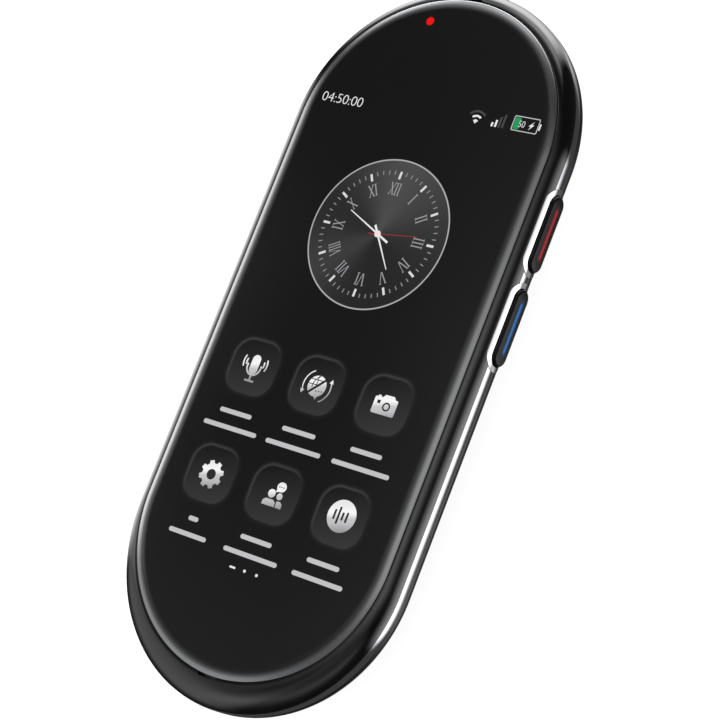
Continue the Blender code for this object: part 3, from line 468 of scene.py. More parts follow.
def make_holes_group():
    """Round holes in staggered rows: 1 inside a hole, 0 on the web."""
    tree, (pitch, share), result = start_group("punched_holes", {"Pitch": 0.0003, "Share": 0.3}, ("Hole",))
    row_step = 0.866
    x, y, _ = split(own_place(tree))
    row = y / (pitch * row_step)
    shift = abs(row.step("FLOOR")).step("MODULO", 2.0) * 0.5
    sideways = (x / pitch + shift).step("FRACT") - 0.5
    upright = (row.step("FRACT") - 0.5) * row_step
    feed(tree, result, {"Hole": hypot(sideways, upright).span(share + 0.04, share - 0.04)})
    return tree


def make_axis_group():
    """The distance from an upright axis, and the turn round it."""
    tree, (axis_x, axis_y), result = start_group("round_axis", {"X": 0.0, "Y": 0.0}, ("Radius", "Turn"))
    x, y, _ = split(own_place(tree))
    x, y = x - axis_x, y - axis_y
    feed(tree, result, {"Radius": hypot(x, y), "Turn": y.step("ARCTAN2", x)})
    return tree


def make_halo_group():
    """The glow round a light line that is long along Y: 1 on the line, 0 away from it."""
    tree, (line_y, line_z, half), result = start_group("line_halo", {"Y": 0.0, "Z": 0.0, "Half": 0.0041}, ("Halo",))
    _, y, z = split(own_place(tree))
    beyond = (abs(y - line_y) - half).step("MAXIMUM", 0.0)
    feed(tree, result, {"Halo": hypot(z - line_z, beyond).span(0.0011, 0.0002) ** 2.0})
    return tree


def make_rows_group():
    """The display's fine pixel rows: their light and their gloss."""
    tree, (scale,), result = start_group("pixel_rows", {"Scale": 9000.0}, ("Light", "Gloss"))
    rows = noise(tree, own_place(tree), scale, 1.0)
    feed(tree, result, {"Light": rows, "Gloss": rows.span(0.3, 0.7, 0.05, 0.09)})
    return tree


GRAIN = make_grain_group()
HOLES = make_holes_group()
AXIS = make_axis_group()
HALO = make_halo_group()
ROWS = make_rows_group()


def effect(tree, group, **values):
    """Place a shared effect in a material with its own values. Returns its outputs."""
    return add(tree, "ShaderNodeGroup", values, node_tree=group)


def grain(tree, scale, low, high, blotch):
    """Uneven gloss between two limits, the height of a fine grain, and soft patches."""
    return effect(tree, GRAIN, Scale=scale, Low=low, High=high, Blotch=blotch)


def round_axis(tree, centre):
    """The distance from an upright axis, and the turn round it."""
    return effect(tree, AXIS, X=centre[0], Y=centre[1])


def start_material(name):
    """A new material and its node tree."""
    material = bpy.data.materials.new(name)
    material.use_nodes = True
    return material, material.node_tree


def surface(material, values):
    """Feed a material's shader. Returns the material."""
    feed(material.node_tree, material.node_tree.nodes["Principled BSDF"], values)
    return material


def lit_surface(material, colour, rough=0.07, base=BLACK):
    """A part of the display: its own light under polished glass."""
    return surface(material, {
        "Base Color": base, "Roughness": rough, "Emission Color": colour, "Emission Strength": 1.0})


def moulded(name, colour, shift, rough, scale, blotch, lift, metal=0.0, index=1.5, coat=0.0):
    """A moulded, cast or plated finish: soft colour shift, uneven gloss and a fine grain."""
    material, tree = start_material(name)
    gloss, height, patch = grain(tree, scale, *rough, blotch)
    return surface(material, {
        "Base Color": blend(patch.span(0.35, 0.65), colour, dimmed(colour, shift)),
        "Roughness": gloss,
        "Normal": bump(height, lift),
        "Metallic": metal,
        "IOR": index,
        "Coat Weight": coat,
        "Coat Roughness": 0.03,
    })


# Settings


def length(name, about, value):
    """A length setting."""
    return bpy.props.FloatProperty(name=name, description=about, default=value, unit="LENGTH")


def paint(name, about, value):
    """A colour setting."""
    return bpy.props.FloatVectorProperty(
        name=name, description=about, default=value[:3], subtype="COLOR", min=0, max=1)


class TranslatorSizes(bpy.types.PropertyGroup):
    """Lengths that a user may change."""

    rim_width: length("Glass rim", "Width of the glass's rounded rim", 0.0019)
    rim_slope: bpy.props.FloatProperty(
        name="Rim slope", description="How steeply the rim falls at its edge", default=0.31)
    seam: length("Seam", "Gap between the glass and the housing", 0.0001)
    band_bulge: length("Band bulge", "How far the band swells between its edges", 0.0001)
    collar_rim: length("Collar ends", "Width of a collar beyond a button's ends", 0.0010)
    collar_side: length("Collar sides", "Width of a collar along a button's sides", 0.00095)
    button_length: length("Button length", "Length of a talk button", 0.0127)
    button_height: length("Button height", "Height of a talk button", 0.0035)
    button_edge: length("Button edge", "Rounding of a talk button's edge", 0.00045)
    key_gap: length("Key gap", "Clearance round a key", 0.0002)
    cover_wall: length("Cover wall", "Thickness of the back cover", 0.0012)


class TranslatorColours(bpy.types.PropertyGroup):
    """Colours that a user may change."""

    body: paint("Body", "Gloss black of the housing", tone(14, 14, 15))
    screen: paint("Screen", "Black of the glass", tone(26, 26, 26))
    first_talk: paint("First talk light", "Light line of the upper button", tone(176, 30, 40))
    second_talk: paint("Second talk light", "Light line of the lower button", tone(48, 116, 192))
    table: paint("Table", "Pale studio table", (0.9, 0.9, 0.9))


def sizes():
    """The lengths in use."""
    return bpy.context.scene.translator_sizes


def colour_of(name):
    """A colour in use, with its alpha."""
    return (*getattr(bpy.context.scene.translator_colours, name), 1.0)


# Cover glass


def glass_material():
    """Polished black glass whose bevelled rim is turned metallic and painted a lighter grey: partly real reflection,
    partly a painted highlight.
    """
    material, tree = start_material("black_cover_glass")
    rim = (FACE - SCREEN - split(own_place(tree))[2]).span(0.000004, 0.00026)
    black = colour_of("screen")
    return surface(material, {
        # Painted highlight: the rim's base colour fades from black to light grey, on top of the real reflection from
        # its metallic gloss.
        "Base Color": blend(rim, black, tone(156, 157, 159)),
        "Metallic": rim,
        "Roughness": grain(tree, 900, 0.045, 0.075, 35)[0] + rim * 0.16,
        "Emission Color": black,
        "Emission Strength": SCREEN_GLOW,
    })


class TRANSLATOR_OT_cover_glass(bpy.types.Operator):
    """Model the cover glass with its sloping rim"""

    bl_idname = "translator.cover_glass"
    bl_label = "Cover glass"

    def execute(self, context):
        width, fall = sizes().rim_width, sizes().rim_width * sizes().rim_slope
        bottom = extent("cover_glass").z
        edge = SCREEN + fall * 2 / 3
        curve = [(0.0, 0.00005, bottom), (0.0, 0.0, bottom - 0.00005)]
        curve += [(0.0, 0.0, edge + 0.00006), (0.0, 0.00001, edge + 0.000025)]
        steps = 20
        for share in [1 - step / steps for step in range(steps + 1)]:
            curve.append((0.0, max((1 - share) * width, 0.00004), SCREEN + fall * (share ** 2 - share ** 3 / 3)))
        curve += [(0.0, width + 0.0002, SCREEN), (0.0, width + 0.003, SCREEN)]
        dress(body_shell("black_glass_cover", curve), glass_material(), "case", "black_glass", "cover_glass")
        return {"FINISHED"}


# Front housing


def all_keys():
    """Each key's name, place on the body's widest line, facing, length and height."""
    found = []
    for label in ("red", "blue"):
        strip = middle(label + "_light_strip")
        place = Vector((HOUSING_HIGH.x, strip.y, strip.z))
        found.append((label, place, FACING_RIGHT, sizes().button_length, sizes().button_height))
    key = middle("power_key_cap")
    place = Vector((key.x, HOUSING_HIGH.y, key.z))
    return found + [("power", place, FACING_TOP, POWER_LENGTH, extent("power_key_cap").z)]


def collar_tool(name, key, grown=0.0):
    """The block of a key's collar in its place, grown by a clearance."""
    _, place, facing, long, high = key
    long += 2 * (sizes().collar_rim + grown)
    high += 2 * (sizes().collar_side + grown)
    return settle(pill_block(name, long, high, -COLLAR_IN - grown, COLLAR_OUT), place, facing)


class TRANSLATOR_OT_front_housing(bpy.types.Operator):
    """Model the glossy shoulder round the glass"""

    bl_idname = "translator.front_housing"
    bl_label = "Front housing"

    def execute(self, context):
        seam = sizes().seam
        skirt, ledge, web, under = 0.0012, 0.0016, 0.0021, 0.0015
        curve = [(0.0, -seam, 0.00062), (0.0, -seam - 0.00003, 0.00054)]
        curve += shoulder_curve(math.asin(min(2.2 * seam / SIDE_MARGIN, 1.0)), SHOULDER_END - 0.00003)
        curve += [(1.0, 0.0002, SHOULDER_END), (1.0, skirt, SHOULDER_END), (1.0, skirt, web)]
        curve += [(0.0, ledge, web), (0.0, ledge, under), (0.0, -seam, under)]
        housing = body_shell("gloss_shoulder", curve, loop=True)
        for key in all_keys()[:2]:
            carve(housing, collar_tool("notch", key, NOTCH_GAP))
        long, high, deep = 0.0036, 0.0006, 0.004
        for node in ("earpiece_mesh", "microphone_mesh"):
            carve(housing, settle(pill_block("slot", long, high, -deep, deep, SMALL_POINTS), middle(node)))
        shade(housing)
        finish = moulded(
            "piano_black_shoulder", colour_of("body"), 0.8, (0.05, 0.08), 1500, 70, 0.0000012, index=1.8)
        dress(housing, finish, "case", "gloss_black", "front_housing")
        return {"FINISHED"}


# Metal band


def collar_trim():
    """The whole body's form, a hair proud, to which the collars are trimmed."""
    proud, back_start = 0.00006, 0.0043
    curve = shoulder_curve(0.12, WIDEST - 0.00002, proud)
    curve += [(1.0, -proud, depth) for depth in (0.0034, 0.0039, back_start)]
    curve += cover_curve(24, back_start, FACE, BACK_ROUND, -proud)
    return body_shell("collar_trim", curve)


def band_material():
    """Polished bright metal with faint length-wise brushing."""
    material, tree = start_material("polished_band")
    gloss, _, patch = grain(tree, 1200, 0.10, 0.17, 90)
    lines = add(tree, "ShaderNodeMapping", {"Vector": own_place(tree), "Scale": (60.0, 60.0, 5200.0)})[0]
    return surface(material, {
        "Base Color": blend(patch, tone(226, 227, 230), tone(216, 218, 222)),
        "Metallic": 1.0,
        "Roughness": gloss,
        "Normal": bump(noise(tree, lines, 1.0, 2.0), 0.0000012, 0.35),
    })


class TRANSLATOR_OT_metal_band(bpy.types.Operator):
    """Model the bright band with the collars round the keys"""

    bl_idname = "translator.metal_band"
    bl_label = "Metal band"

    def execute(self, context):
        inner, steps, deep = 0.0022, 10, 0.004
        curve = [(1.0, inner, BAND_START)]
        for share in [step / steps for step in range(steps + 1)]:
            bulge = sizes().band_bulge * (2 * share - 1) ** 2
            curve.append((1.0, bulge, BAND_START + (BAND_END - BAND_START) * share))
        band = body_shell("bright_band", curve + [(1.0, inner, BAND_END)], loop=True)
        gap = 2 * sizes().key_gap * 0.7
        for key in all_keys():
            label, place, facing, long, high = key
            collar = collar_tool(label + "_collar", key)
            carve(collar, collar_trim(), "INTERSECT")
            carve(band, collar, "UNION")
            carve(band, settle(pill_block("key_hole", long + gap, high + gap, -deep, deep), place, facing))
        shade(band)
        dress(band, band_material(), "case", "bright_metal", "metal_frame")
        return {"FINISHED"}


# Back cover


class TRANSLATOR_OT_back_cover(bpy.types.Operator):
    """Model the back cover and its openings"""

    bl_idname = "translator.back_cover"
    bl_label = "Back cover"

    def execute(self, context):
        wall = sizes().cover_wall
        top = COVER_DEPTH - 0.00004
        curve = [(1.0, wall, top), (1.0, 0.00014, top), (1.0, 0.00010, top + 0.00003)]
        curve += [(1.0, 0.00006, COVER_DEPTH + 0.00012)] + cover_curve(30, COVER_DEPTH, FACE, BACK_ROUND)
        curve += [(1.0, inset, FACE) for inset in (BACK_ROUND + 0.0003, 0.018, 0.021, 0.024)]
        start_piece("satin_back_cover")
        rings = [body_ring(*point) for point in curve]
        numbers, outer_end = loft(rings, GLASS_MIDDLE[:2], SHELL_POINTS, ends=False)
        cap(outer_end)
        inner = cover_curve(10, COVER_DEPTH, FACE - wall, BACK_ROUND - wall, wall)
        rings = rings[:1] + [body_ring(*point) for point in inner]
        for old, new in zip(rings, rings[1:]):
            numbers = grow(numbers, old, new, GLASS_MIDDLE[:2])
        cap(numbers)
        cover = close_piece()
        for key in all_keys():
            carve(cover, collar_tool("notch", key, NOTCH_GAP))
        gap, deep = 0.0004, 0.003
        for node in ("camera_trim_ring", "flash_lens"):
            size = extent(node).x + gap
            place = (*middle(node)[:2], 0)
            carve(cover, settle(pill_block("round", size + 0.00001, size, -deep, deep), place))
        mesh = middle("speaker_mesh")
        rows, row_step, long, high = 4, 0.0019, 0.0100, 0.0009
        for index in range(rows):
            place = (mesh.x, mesh.y + (index - (rows - 1) / 2) * row_step, 0)
            carve(cover, settle(pill_block("grille", long, high, -deep, deep, SMALL_POINTS), place))
        size, place = extent("usb_socket"), middle("usb_socket")
        place.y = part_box("usb_socket")[0].y
        tool = pill_block("socket", size.x + gap, size.z + gap, -2 * deep, 2 * deep)
        carve(cover, settle(tool, place, FACING_BOTTOM))
        shade(cover)
        finish = moulded("satin_black_cover", tone(28, 28, 30), 0.85, (0.30, 0.40), 5200, 120, 0.000006)
        dress(cover, finish, "case", "satin_black", "back_cover")
        return {"FINISHED"}


# Keys


def key_shell(name, long, high, edge, low, face, crown):
    """A pill-shaped cap with a round edge and a slightly crowned face."""
    start_piece(name)
    rim = face - crown - edge
    profile, steps = [(0.0, low), (0.0, rim)], 7
    for angle in [math.pi / 2 * step / steps for step in range(1, steps + 1)]:
        profile.append((edge * (1 - math.cos(angle)), rim + edge * math.sin(angle)))
    profile += [(edge + high * 0.12, face - crown * 0.4), (edge + high * 0.24, face)]
    loft(pill_rings(long, high, profile))
    return close_piece(40)


def glow_material(name, colour):
    """A light line: its own light over a fine grain in the diffuser."""
    material, tree = start_material(name)
    gloss, _, patch = grain(tree, 3500, 0.25, 0.40, 500)
    return surface(material, {
        "Base Color": blend(patch, (0.02, 0.02, 0.02, 1.0), (0.03, 0.03, 0.03, 1.0)),
        "Roughness": gloss,
        "IOR": 1.15,
        "Emission Color": blend(patch, colour, dimmed(colour, 0.75)),
        "Emission Strength": 0.85,
    })


def button_material(name, colour, centre):
    """Black cap with a faint painted glow of its light line on the face."""
    material, tree = start_material(name)
    gloss, height, patch = grain(tree, 2600, 0.26, 0.34, 180)
    halo = effect(tree, HALO, Y=centre.y, Z=centre.z, Half=0.0041)[0]
    return surface(material, {
        "Base Color": blend(patch, tone(15, 15, 16), tone(11, 11, 12)),
        "Roughness": gloss,
        "Normal": bump(height, 0.0000015),
        "IOR": 1.35,
        # Painted glow: the cap itself emits the light line's colour near the line.
        "Emission Color": blend(halo, BLACK, colour),
        "Emission Strength": 0.14,
    })


class TRANSLATOR_OT_talk_buttons(bpy.types.Operator):
    """Model the two talk buttons with their light lines"""

    bl_idname = "translator.talk_buttons"
    bl_label = "Talk buttons"

    def execute(self, context):
        trim = sizes()
        for label, glow in (("red", "first_talk"), ("blue", "second_talk")):
            strip_low, strip_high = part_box(label + "_light_strip")
            cap_low, cap_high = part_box(label + "_button_cap")
            centre = middle(label + "_light_strip")
            origin = (0.0, centre.y, centre.z)
            long, wide = strip_high.y - strip_low.y, strip_high.z - strip_low.z
            button = key_shell(label + "_talk_button", trim.button_length, trim.button_height,
                               trim.button_edge, cap_low.x, cap_high.x, 0.00004)
            carve(button, pill_block(
                "groove", long + 0.00008, wide + 0.00008, strip_low.x, cap_high.x + 0.001, SMALL_POINTS))
            settle(button, origin, FACING_RIGHT)
            shade(button, 40)
            black = button_material(label + "_talk_button_black", colour_of(glow), centre)
            dress(button, black, label + "_button", "gloss_black", label + "_button_cap")
            start_piece(label + "_light_line")
            profile = ((0.0, strip_low.x), (0.0, cap_high.x - 0.00004),
                       (0.00006, cap_high.x + 0.00001), (0.00018, strip_high.x))
            loft(pill_rings(long, wide, profile), points=SMALL_POINTS)
            strip = settle(close_piece(), origin, FACING_RIGHT)
            light = glow_material(label + "_light_line_glow", colour_of(glow))
            dress(strip, light, label + "_button", label + "_light", label + "_light_strip")
        return {"FINISHED"}


class TRANSLATOR_OT_power_key(bpy.types.Operator):
    """Model the power key on the top end"""

    bl_idname = "translator.power_key"
    bl_label = "Power key"

    def execute(self, context):
        low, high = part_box("power_key_cap")
        centre = middle("power_key_cap")
        key = key_shell("slim_power_key", POWER_LENGTH, high.z - low.z, 0.0003, low.y, high.y, 0.00002)
        settle(key, (centre.x, 0.0, centre.z), FACING_TOP)
        finish = moulded("satin_key_black", tone(30, 30, 32), 0.8, (0.26, 0.36), 2600, 200, 0.000002)
        dress(key, finish, "power_key", "satin_black", "power_key_cap")
        return {"FINISHED"}


# Back fittings


def lens_material(centre):
    """The camera behind its window: dark rings, a coated iris and a small pupil."""
    material, tree = start_material("camera_window_glass")
    rings = ramp(round_axis(tree, centre)[0] / 0.0033, (
        (0.0, tone(6, 6, 8)), (0.17, tone(10, 10, 16)), (0.22, tone(46, 40, 84)), (0.33, tone(22, 34, 58)),
        (0.38, tone(9, 9, 10)), (0.58, tone(14, 14, 15)), (0.61, tone(58, 58, 62)), (0.64, tone(10, 10, 11)),
        (0.86, tone(12, 12, 13)), (1.0, tone(18, 18, 20)),
    ), "LINEAR")
    return surface(material, {
        "Base Color": rings, "Roughness": grain(tree, 1200, 0.03, 0.07, 200)[0], "IOR": 1.6,
        "Coat Weight": 0.6, "Coat Roughness": 0.02,
    })


def flash_material(centre):
    """A milky lens with fine pressed rings over a yellow emitter."""
    material, tree = start_material("flash_lens_plastic")
    radius = round_axis(tree, centre)[0]
    return surface(material, {
        "Base Color": blend(radius.span(0.0010, 0.0006), tone(226, 226, 218), tone(226, 206, 120)),
        "Roughness": grain(tree, 1200, 0.08, 0.16, 200)[0],
        "Normal": bump((radius * 32000.0).step("SINE"), 0.00002, 0.7),
    })


def turned_piece(name, profile, centre, points=PILL_POINTS, loop=False):
    """Skin circles of (radius, height) round an upright axis."""
    start_piece(name)
    loft([(radius, height, (0, 0, 0, 0)) for radius, height in profile], points=points, loop=loop)
    return settle(close_piece(), (*centre[:2], 0))


class TRANSLATOR_OT_back_fittings(bpy.types.Operator):
    """Model the rear camera's ring and window, and the flash lens"""

    bl_idname = "translator.back_fittings"
    bl_label = "Back fittings"

    def execute(self, context):
        centre = middle("camera_trim_ring")
        low, high = [corner.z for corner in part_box("camera_trim_ring")]
        outer = extent("camera_trim_ring").x / 2
        radius = extent("camera_window").x / 2
        bore = radius + 0.0002
        ring = turned_piece("camera_bezel", (
            (outer, high), (outer, low + 0.00016), (outer - 0.00005, low + 0.00005), (outer - 0.00016, low),
            (bore + 0.0005, low), (bore + 0.0004, low + 0.00003), (bore + 0.00012, low + 0.00022),
            (bore, low + 0.00032), (bore, high),
        ), centre, loop=True)
        finish = moulded(
            "turned_bezel_metal", tone(226, 228, 232), 0.94, (0.12, 0.2), 1500, 300, 0.000001, metal=1.0)
        dress(ring, finish, "case", "bright_metal", "camera_trim_ring")
        low, high = [corner.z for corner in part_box("camera_window")]
        window = turned_piece("camera_front_glass", (
            (radius, high), (radius, low + 0.00012), (radius - 0.00004, low + 0.00004), (radius - 0.00012, low),
            (radius - 0.0003, low),
        ), centre)
        dress(window, lens_material(centre), "case", "black_glass", "camera_window")
        centre = middle("flash_lens")
        low, high = [corner.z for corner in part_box("flash_lens")]
        radius = extent("flash_lens").x / 2
        lens = turned_piece("flash_front_lens", (
            (radius, high), (radius, low + 0.0001), (radius - 0.00003, low + 0.00003), (radius - 0.0001, low),
            (radius - 0.0004, low + 0.00002), (radius - 0.0008, low),
        ), centre, points=48)
        dress(lens, flash_material(centre), "case", "clear_lens", "flash_lens")
        return {"FINISHED"}


# Screen graphics, in millimetres


class Pen:
    """Draws thin plates on the screen, from a place and a turn of its own."""

    def __init__(self, x=0.0, y=0.0, layer=GLYPH_LAYER, turn=0.0):
        self.x, self.y, self.turn = x, y, turn
        self.top, self.thick = FACE - layer, SCREEN - layer + PLATE_SINK

    def spot(self, x, y):
        """Where a point lies, in metres."""
        angle = math.radians(self.turn)
        right = self.x + x * math.cos(angle) - y * math.sin(angle)
        up = self.y + x * math.sin(angle) + y * math.cos(angle)
        return GLASS_MIDDLE.x + right * MM, GLASS_MIDDLE.y + up * MM

    def plate(self, x, y, width, height, corner, points=SMALL_POINTS, lean=0.0):
        """A plate with round corners."""
        corner = min(corner, width / 2, height / 2)
        across, along = (width / 2 - corner) * MM, (height / 2 - corner) * MM
        turn = math.radians(self.turn + lean)
        cap(outline(corner * MM, self.top, (across, across, along, along), self.spot(x, y), turn, points))
        drop(self.thick)

    def polygon(self, *corners):
        """A plate with given corners."""
        bpy.ops.mesh.primitive_circle_add(vertices=len(corners), radius=MM, location=(*self.spot(0, 0), self.top))
        fresh = picked()
        for index, corner in zip(sorted(fresh), corners):
            pick(lambda number, place: number == index)
            bpy.ops.transform.translate(value=Vector((*self.spot(*corner), self.top)) - fresh[index])
        cap(fresh)
        drop(self.thick)

    def segment(self, radius, start, end, steps=14):
        """A part of a disc, cut off by a straight line."""
        self.polygon(*[polar(radius, start + (end - start) * step / steps) for step in range(steps + 1)])

    def arc(self, x, y, radius, width, start, end, steps=12):
        """A bent line: a small upright square spun from one angle to another, in degrees."""
        right, up = self.spot(x, y)
        height = self.top - self.thick / 2
        reach = polar(radius * MM, start)
        place = (right + reach[0], up + reach[1], height)
        bpy.ops.mesh.primitive_plane_add(size=MM, location=place, rotation=(math.pi / 2, 0, 0))
        bpy.ops.transform.resize(value=(width, 1, self.thick / MM), center_override=place)
        bpy.ops.transform.rotate(value=-math.radians(start), orient_axis="Z", center_override=place)
        bpy.ops.mesh.spin(
            steps=steps, angle=-math.radians(end - start), center=(right, up, height), axis=(0, 0, 1))

    def hoop(self, x, y, inner, outer, points=48):
        """A flat ring."""
        low = self.top - self.thick
        levels = ((outer, low), (outer, self.top), (inner, self.top), (inner, low))
        rings = [(radius * MM, level, (0, 0, 0, 0)) for radius, level in levels]
        loft(rings, self.spot(x, y), points, loop=True)

    def draw(self, rows):
        """Draw rows of a shape's name and its numbers."""
        for shape, *numbers in rows:
            getattr(self, shape)(*numbers)


def lit(name, *colour):
    """A lit part of the display: fine pixel rows under polished glass."""
    material, tree = start_material(name)
    rows, gloss = effect(tree, ROWS, Scale=9000.0)
    full = tone(*colour)
    return lit_surface(material, blend(rows, dimmed(full, 0.94), full), gloss)


def glyph_material():
    """Silver icon finish: near white at the upper edge, grey at the lower."""
    material, tree = start_material("silver_glyph_light")
    across, along, _ = split(source(tree, "ShaderNodeUVMap", "UV"))
    lean = along + across * -0.25
    return lit_surface(material, ramp(lean.span(-2.6, 2.4, kind="LINEAR"), (
        (0.0, tone(150, 150, 152)), (0.45, tone(196, 196, 198)), (0.7, tone(246, 246, 246)),
        (1.0, tone(232, 232, 234)),
    )))


def finish_graphic(material, anchor=None):
    """Close the graphic being drawn, map it flat from its anchor in millimetres, and dress it."""
    piece = close_piece()
    if anchor:
        centre = Pen(*anchor).spot(0, 0)
        while piece.data.uv_layers:
            piece.data.uv_layers.remove(piece.data.uv_layers[0])
        layer = piece.data.uv_layers.new(name="flat_map")
        for loop in piece.data.loops:
            place = piece.data.vertices[loop.vertex_index].co
            layer.data[loop.index].uv = ((place.x - centre[0]) / MM, (place.y - centre[1]) / MM)
    return dress(piece, material, "case", "black_glass")


def graphic(name, material, rows, x=0.0, y=0.0, layer=GLYPH_LAYER):
    """Draw rows of shapes as one graphic."""
    start_piece(name)
    Pen(x, y, layer).draw(rows)
    return finish_graphic(material)


# Clock: the dial's middle, and for each letter its width and strokes of (offset, lean, weight)
DIAL = (-0.3, 16.25)
HOURS = ("XII", "I", "II", "III", "IV", "V", "VI", "VII", "VIII", "IX", "X", "XI")
LETTERS = {
    "I": (0.62, ((0.0, 0.0, 0.19),)),
    "V": (1.08, ((-0.26, 12.0, 0.19), (0.26, -12.0, 0.11))),
    "X": (1.08, ((0.0, 20.0, 0.19), (0.0, -20.0, 0.11))),
}
LETTER_HEIGHT, LETTER_RADIUS, WIDEST_HOUR = 2.0, 7.85, 2.1


def dial_material():
    """A dark sunray dial: a soft fan of light over fine turned lines."""
    material, tree = start_material("sunray_dial")
    radius, turn = round_axis(tree, Pen(*DIAL).spot(0, 0))
    glow = 0.0162
    for toward, power, strength in ((66, 3.0, 0.031), (92, 10.0, 0.024), (217, 14.0, 0.026)):
        aim = (turn - math.radians(toward)).step("COSINE")
        glow = (aim.step("MULTIPLY_ADD", 0.5, 0.5) ** power).step("MULTIPLY_ADD", strength, glow)
    turned = {"W": radius * 9000.0, "Scale": 1.0, "Detail": 2.0}
    lines = add(tree, "ShaderNodeTexNoise", turned, noise_dimensions="1D")[0]
    glow = glow * lines.span(0.2, 0.8, 0.92, 1.08, "LINEAR")
    return lit_surface(material, blend(glow, BLACK, (1.0, 1.0, 1.02, 1.0)), base=(0.004, 0.004, 0.004, 1.0))


def draw_hour(letters, clock):
    """Draw one hour in Roman strokes with fine serifs, its feet towards the hub."""
    pen = Pen(*DIAL, DETAIL_LAYER, -clock)
    total = sum(LETTERS[letter][0] for letter in letters)
    scale = min(1.0, WIDEST_HOUR / total)
    cursor = -total * scale / 2
    for letter in letters:
        width, strokes = LETTERS[letter]
        serif = (0.46 if letter == "I" else 0.36) * scale
        for offset, lean, weight in strokes:
            centre, tilt = cursor + (width / 2 + offset) * scale, math.radians(lean)
            pen.plate(centre, LETTER_RADIUS, weight * scale, LETTER_HEIGHT / math.cos(tilt), 0.02, 8, lean)
            for level in (-LETTER_HEIGHT / 2, LETTER_HEIGHT / 2):
                if letter != "V" or level > 0:
                    pen.plate(centre - level * math.tan(tilt), LETTER_RADIUS + level, serif, 0.09, 0.02, 8)
        cursor += width * scale


def draw_hand(clock, long, tail, tip, base, layer):
    """Draw a tapered hand with its tail."""
    foot = base * 1.25
    Pen(*DIAL, layer, -clock).polygon(
        (-tip, long), (-base, 0.0), (-foot, -tail), (foot, -tail), (base, 0.0), (tip, long))


def repeat_round_dial():
    """Copy what is drawn to all twelve hours."""
    bpy.ops.mesh.select_all(action="SELECT")
    centre = (*Pen(*DIAL).spot(0, 0), FACE)
    bpy.ops.mesh.spin(steps=12, angle=2 * math.pi, center=centre, axis=(0, 0, 1), dupli=True)
    merge(0.000001)


class TRANSLATOR_OT_clock(bpy.types.Operator):
    """Draw the clock on the screen"""

    bl_idname = "translator.clock"
    bl_label = "Clock"

    def execute(self, context):
        graphic("clock_dial", dial_material(), (("plate", 0, 0, 25.3, 25.3, 12.65, 128),), *DIAL, PANEL_LAYER)
        graphic("clock_ring", lit("ring_light", 176, 176, 178), (("hoop", 0, 0, 12.64, 12.87, 160),), *DIAL)
        start_piece("clock_hour_marks")
        Pen(*DIAL, DETAIL_LAYER).plate(0, 10.2, 0.40, 1.3, 0.03, 8)
        repeat_round_dial()
        finish_graphic(lit("hour_mark_light", 222, 222, 224))
        start_piece("clock_minute_marks")
        for minute in range(1, 5):
            Pen(*DIAL, DETAIL_LAYER, -6 * minute).plate(0, 10.55, 0.18, 0.7, 0.02, 8)
        repeat_round_dial()
        finish_graphic(lit("minute_mark_light", 140, 140, 142))
        start_piece("clock_numerals")
        for number, letters in enumerate(HOURS):
            draw_hour(letters, number * 30)
        finish_graphic(lit("numeral_light", 156, 156, 159))
        start_piece("clock_second_hand")
        draw_hand(82.5, 7.3, 1.8, 0.05, 0.08, GLYPH_LAYER)
        finish_graphic(lit("second_hand_light", 158, 46, 50))
        start_piece("clock_hands")
        over = GLYPH_LAYER - 0.000004
        draw_hand(293.6, 7.2, 2.6, 0.07, 0.15, over)
        draw_hand(142.8, 6.7, 1.7, 0.07, 0.16, over)
        finish_graphic(lit("hand_light", 240, 240, 241))
        hub = (("plate", 0, 0, 1.15, 1.15, 0.575),)
        graphic("clock_hub", lit("hub_light", 246, 226, 224), hub, *DIAL, DETAIL_LAYER)
        return {"FINISHED"}


# Tiles, from left to right and from the upper row to the lower
TILE_COLUMNS = (-13.3, -0.4, 12.8)
TILES = [(x, y) for y in (-10.0, -28.4) for x in TILE_COLUMNS]
TILE_HALF, TILE_CORNER = 4.55, 3.15

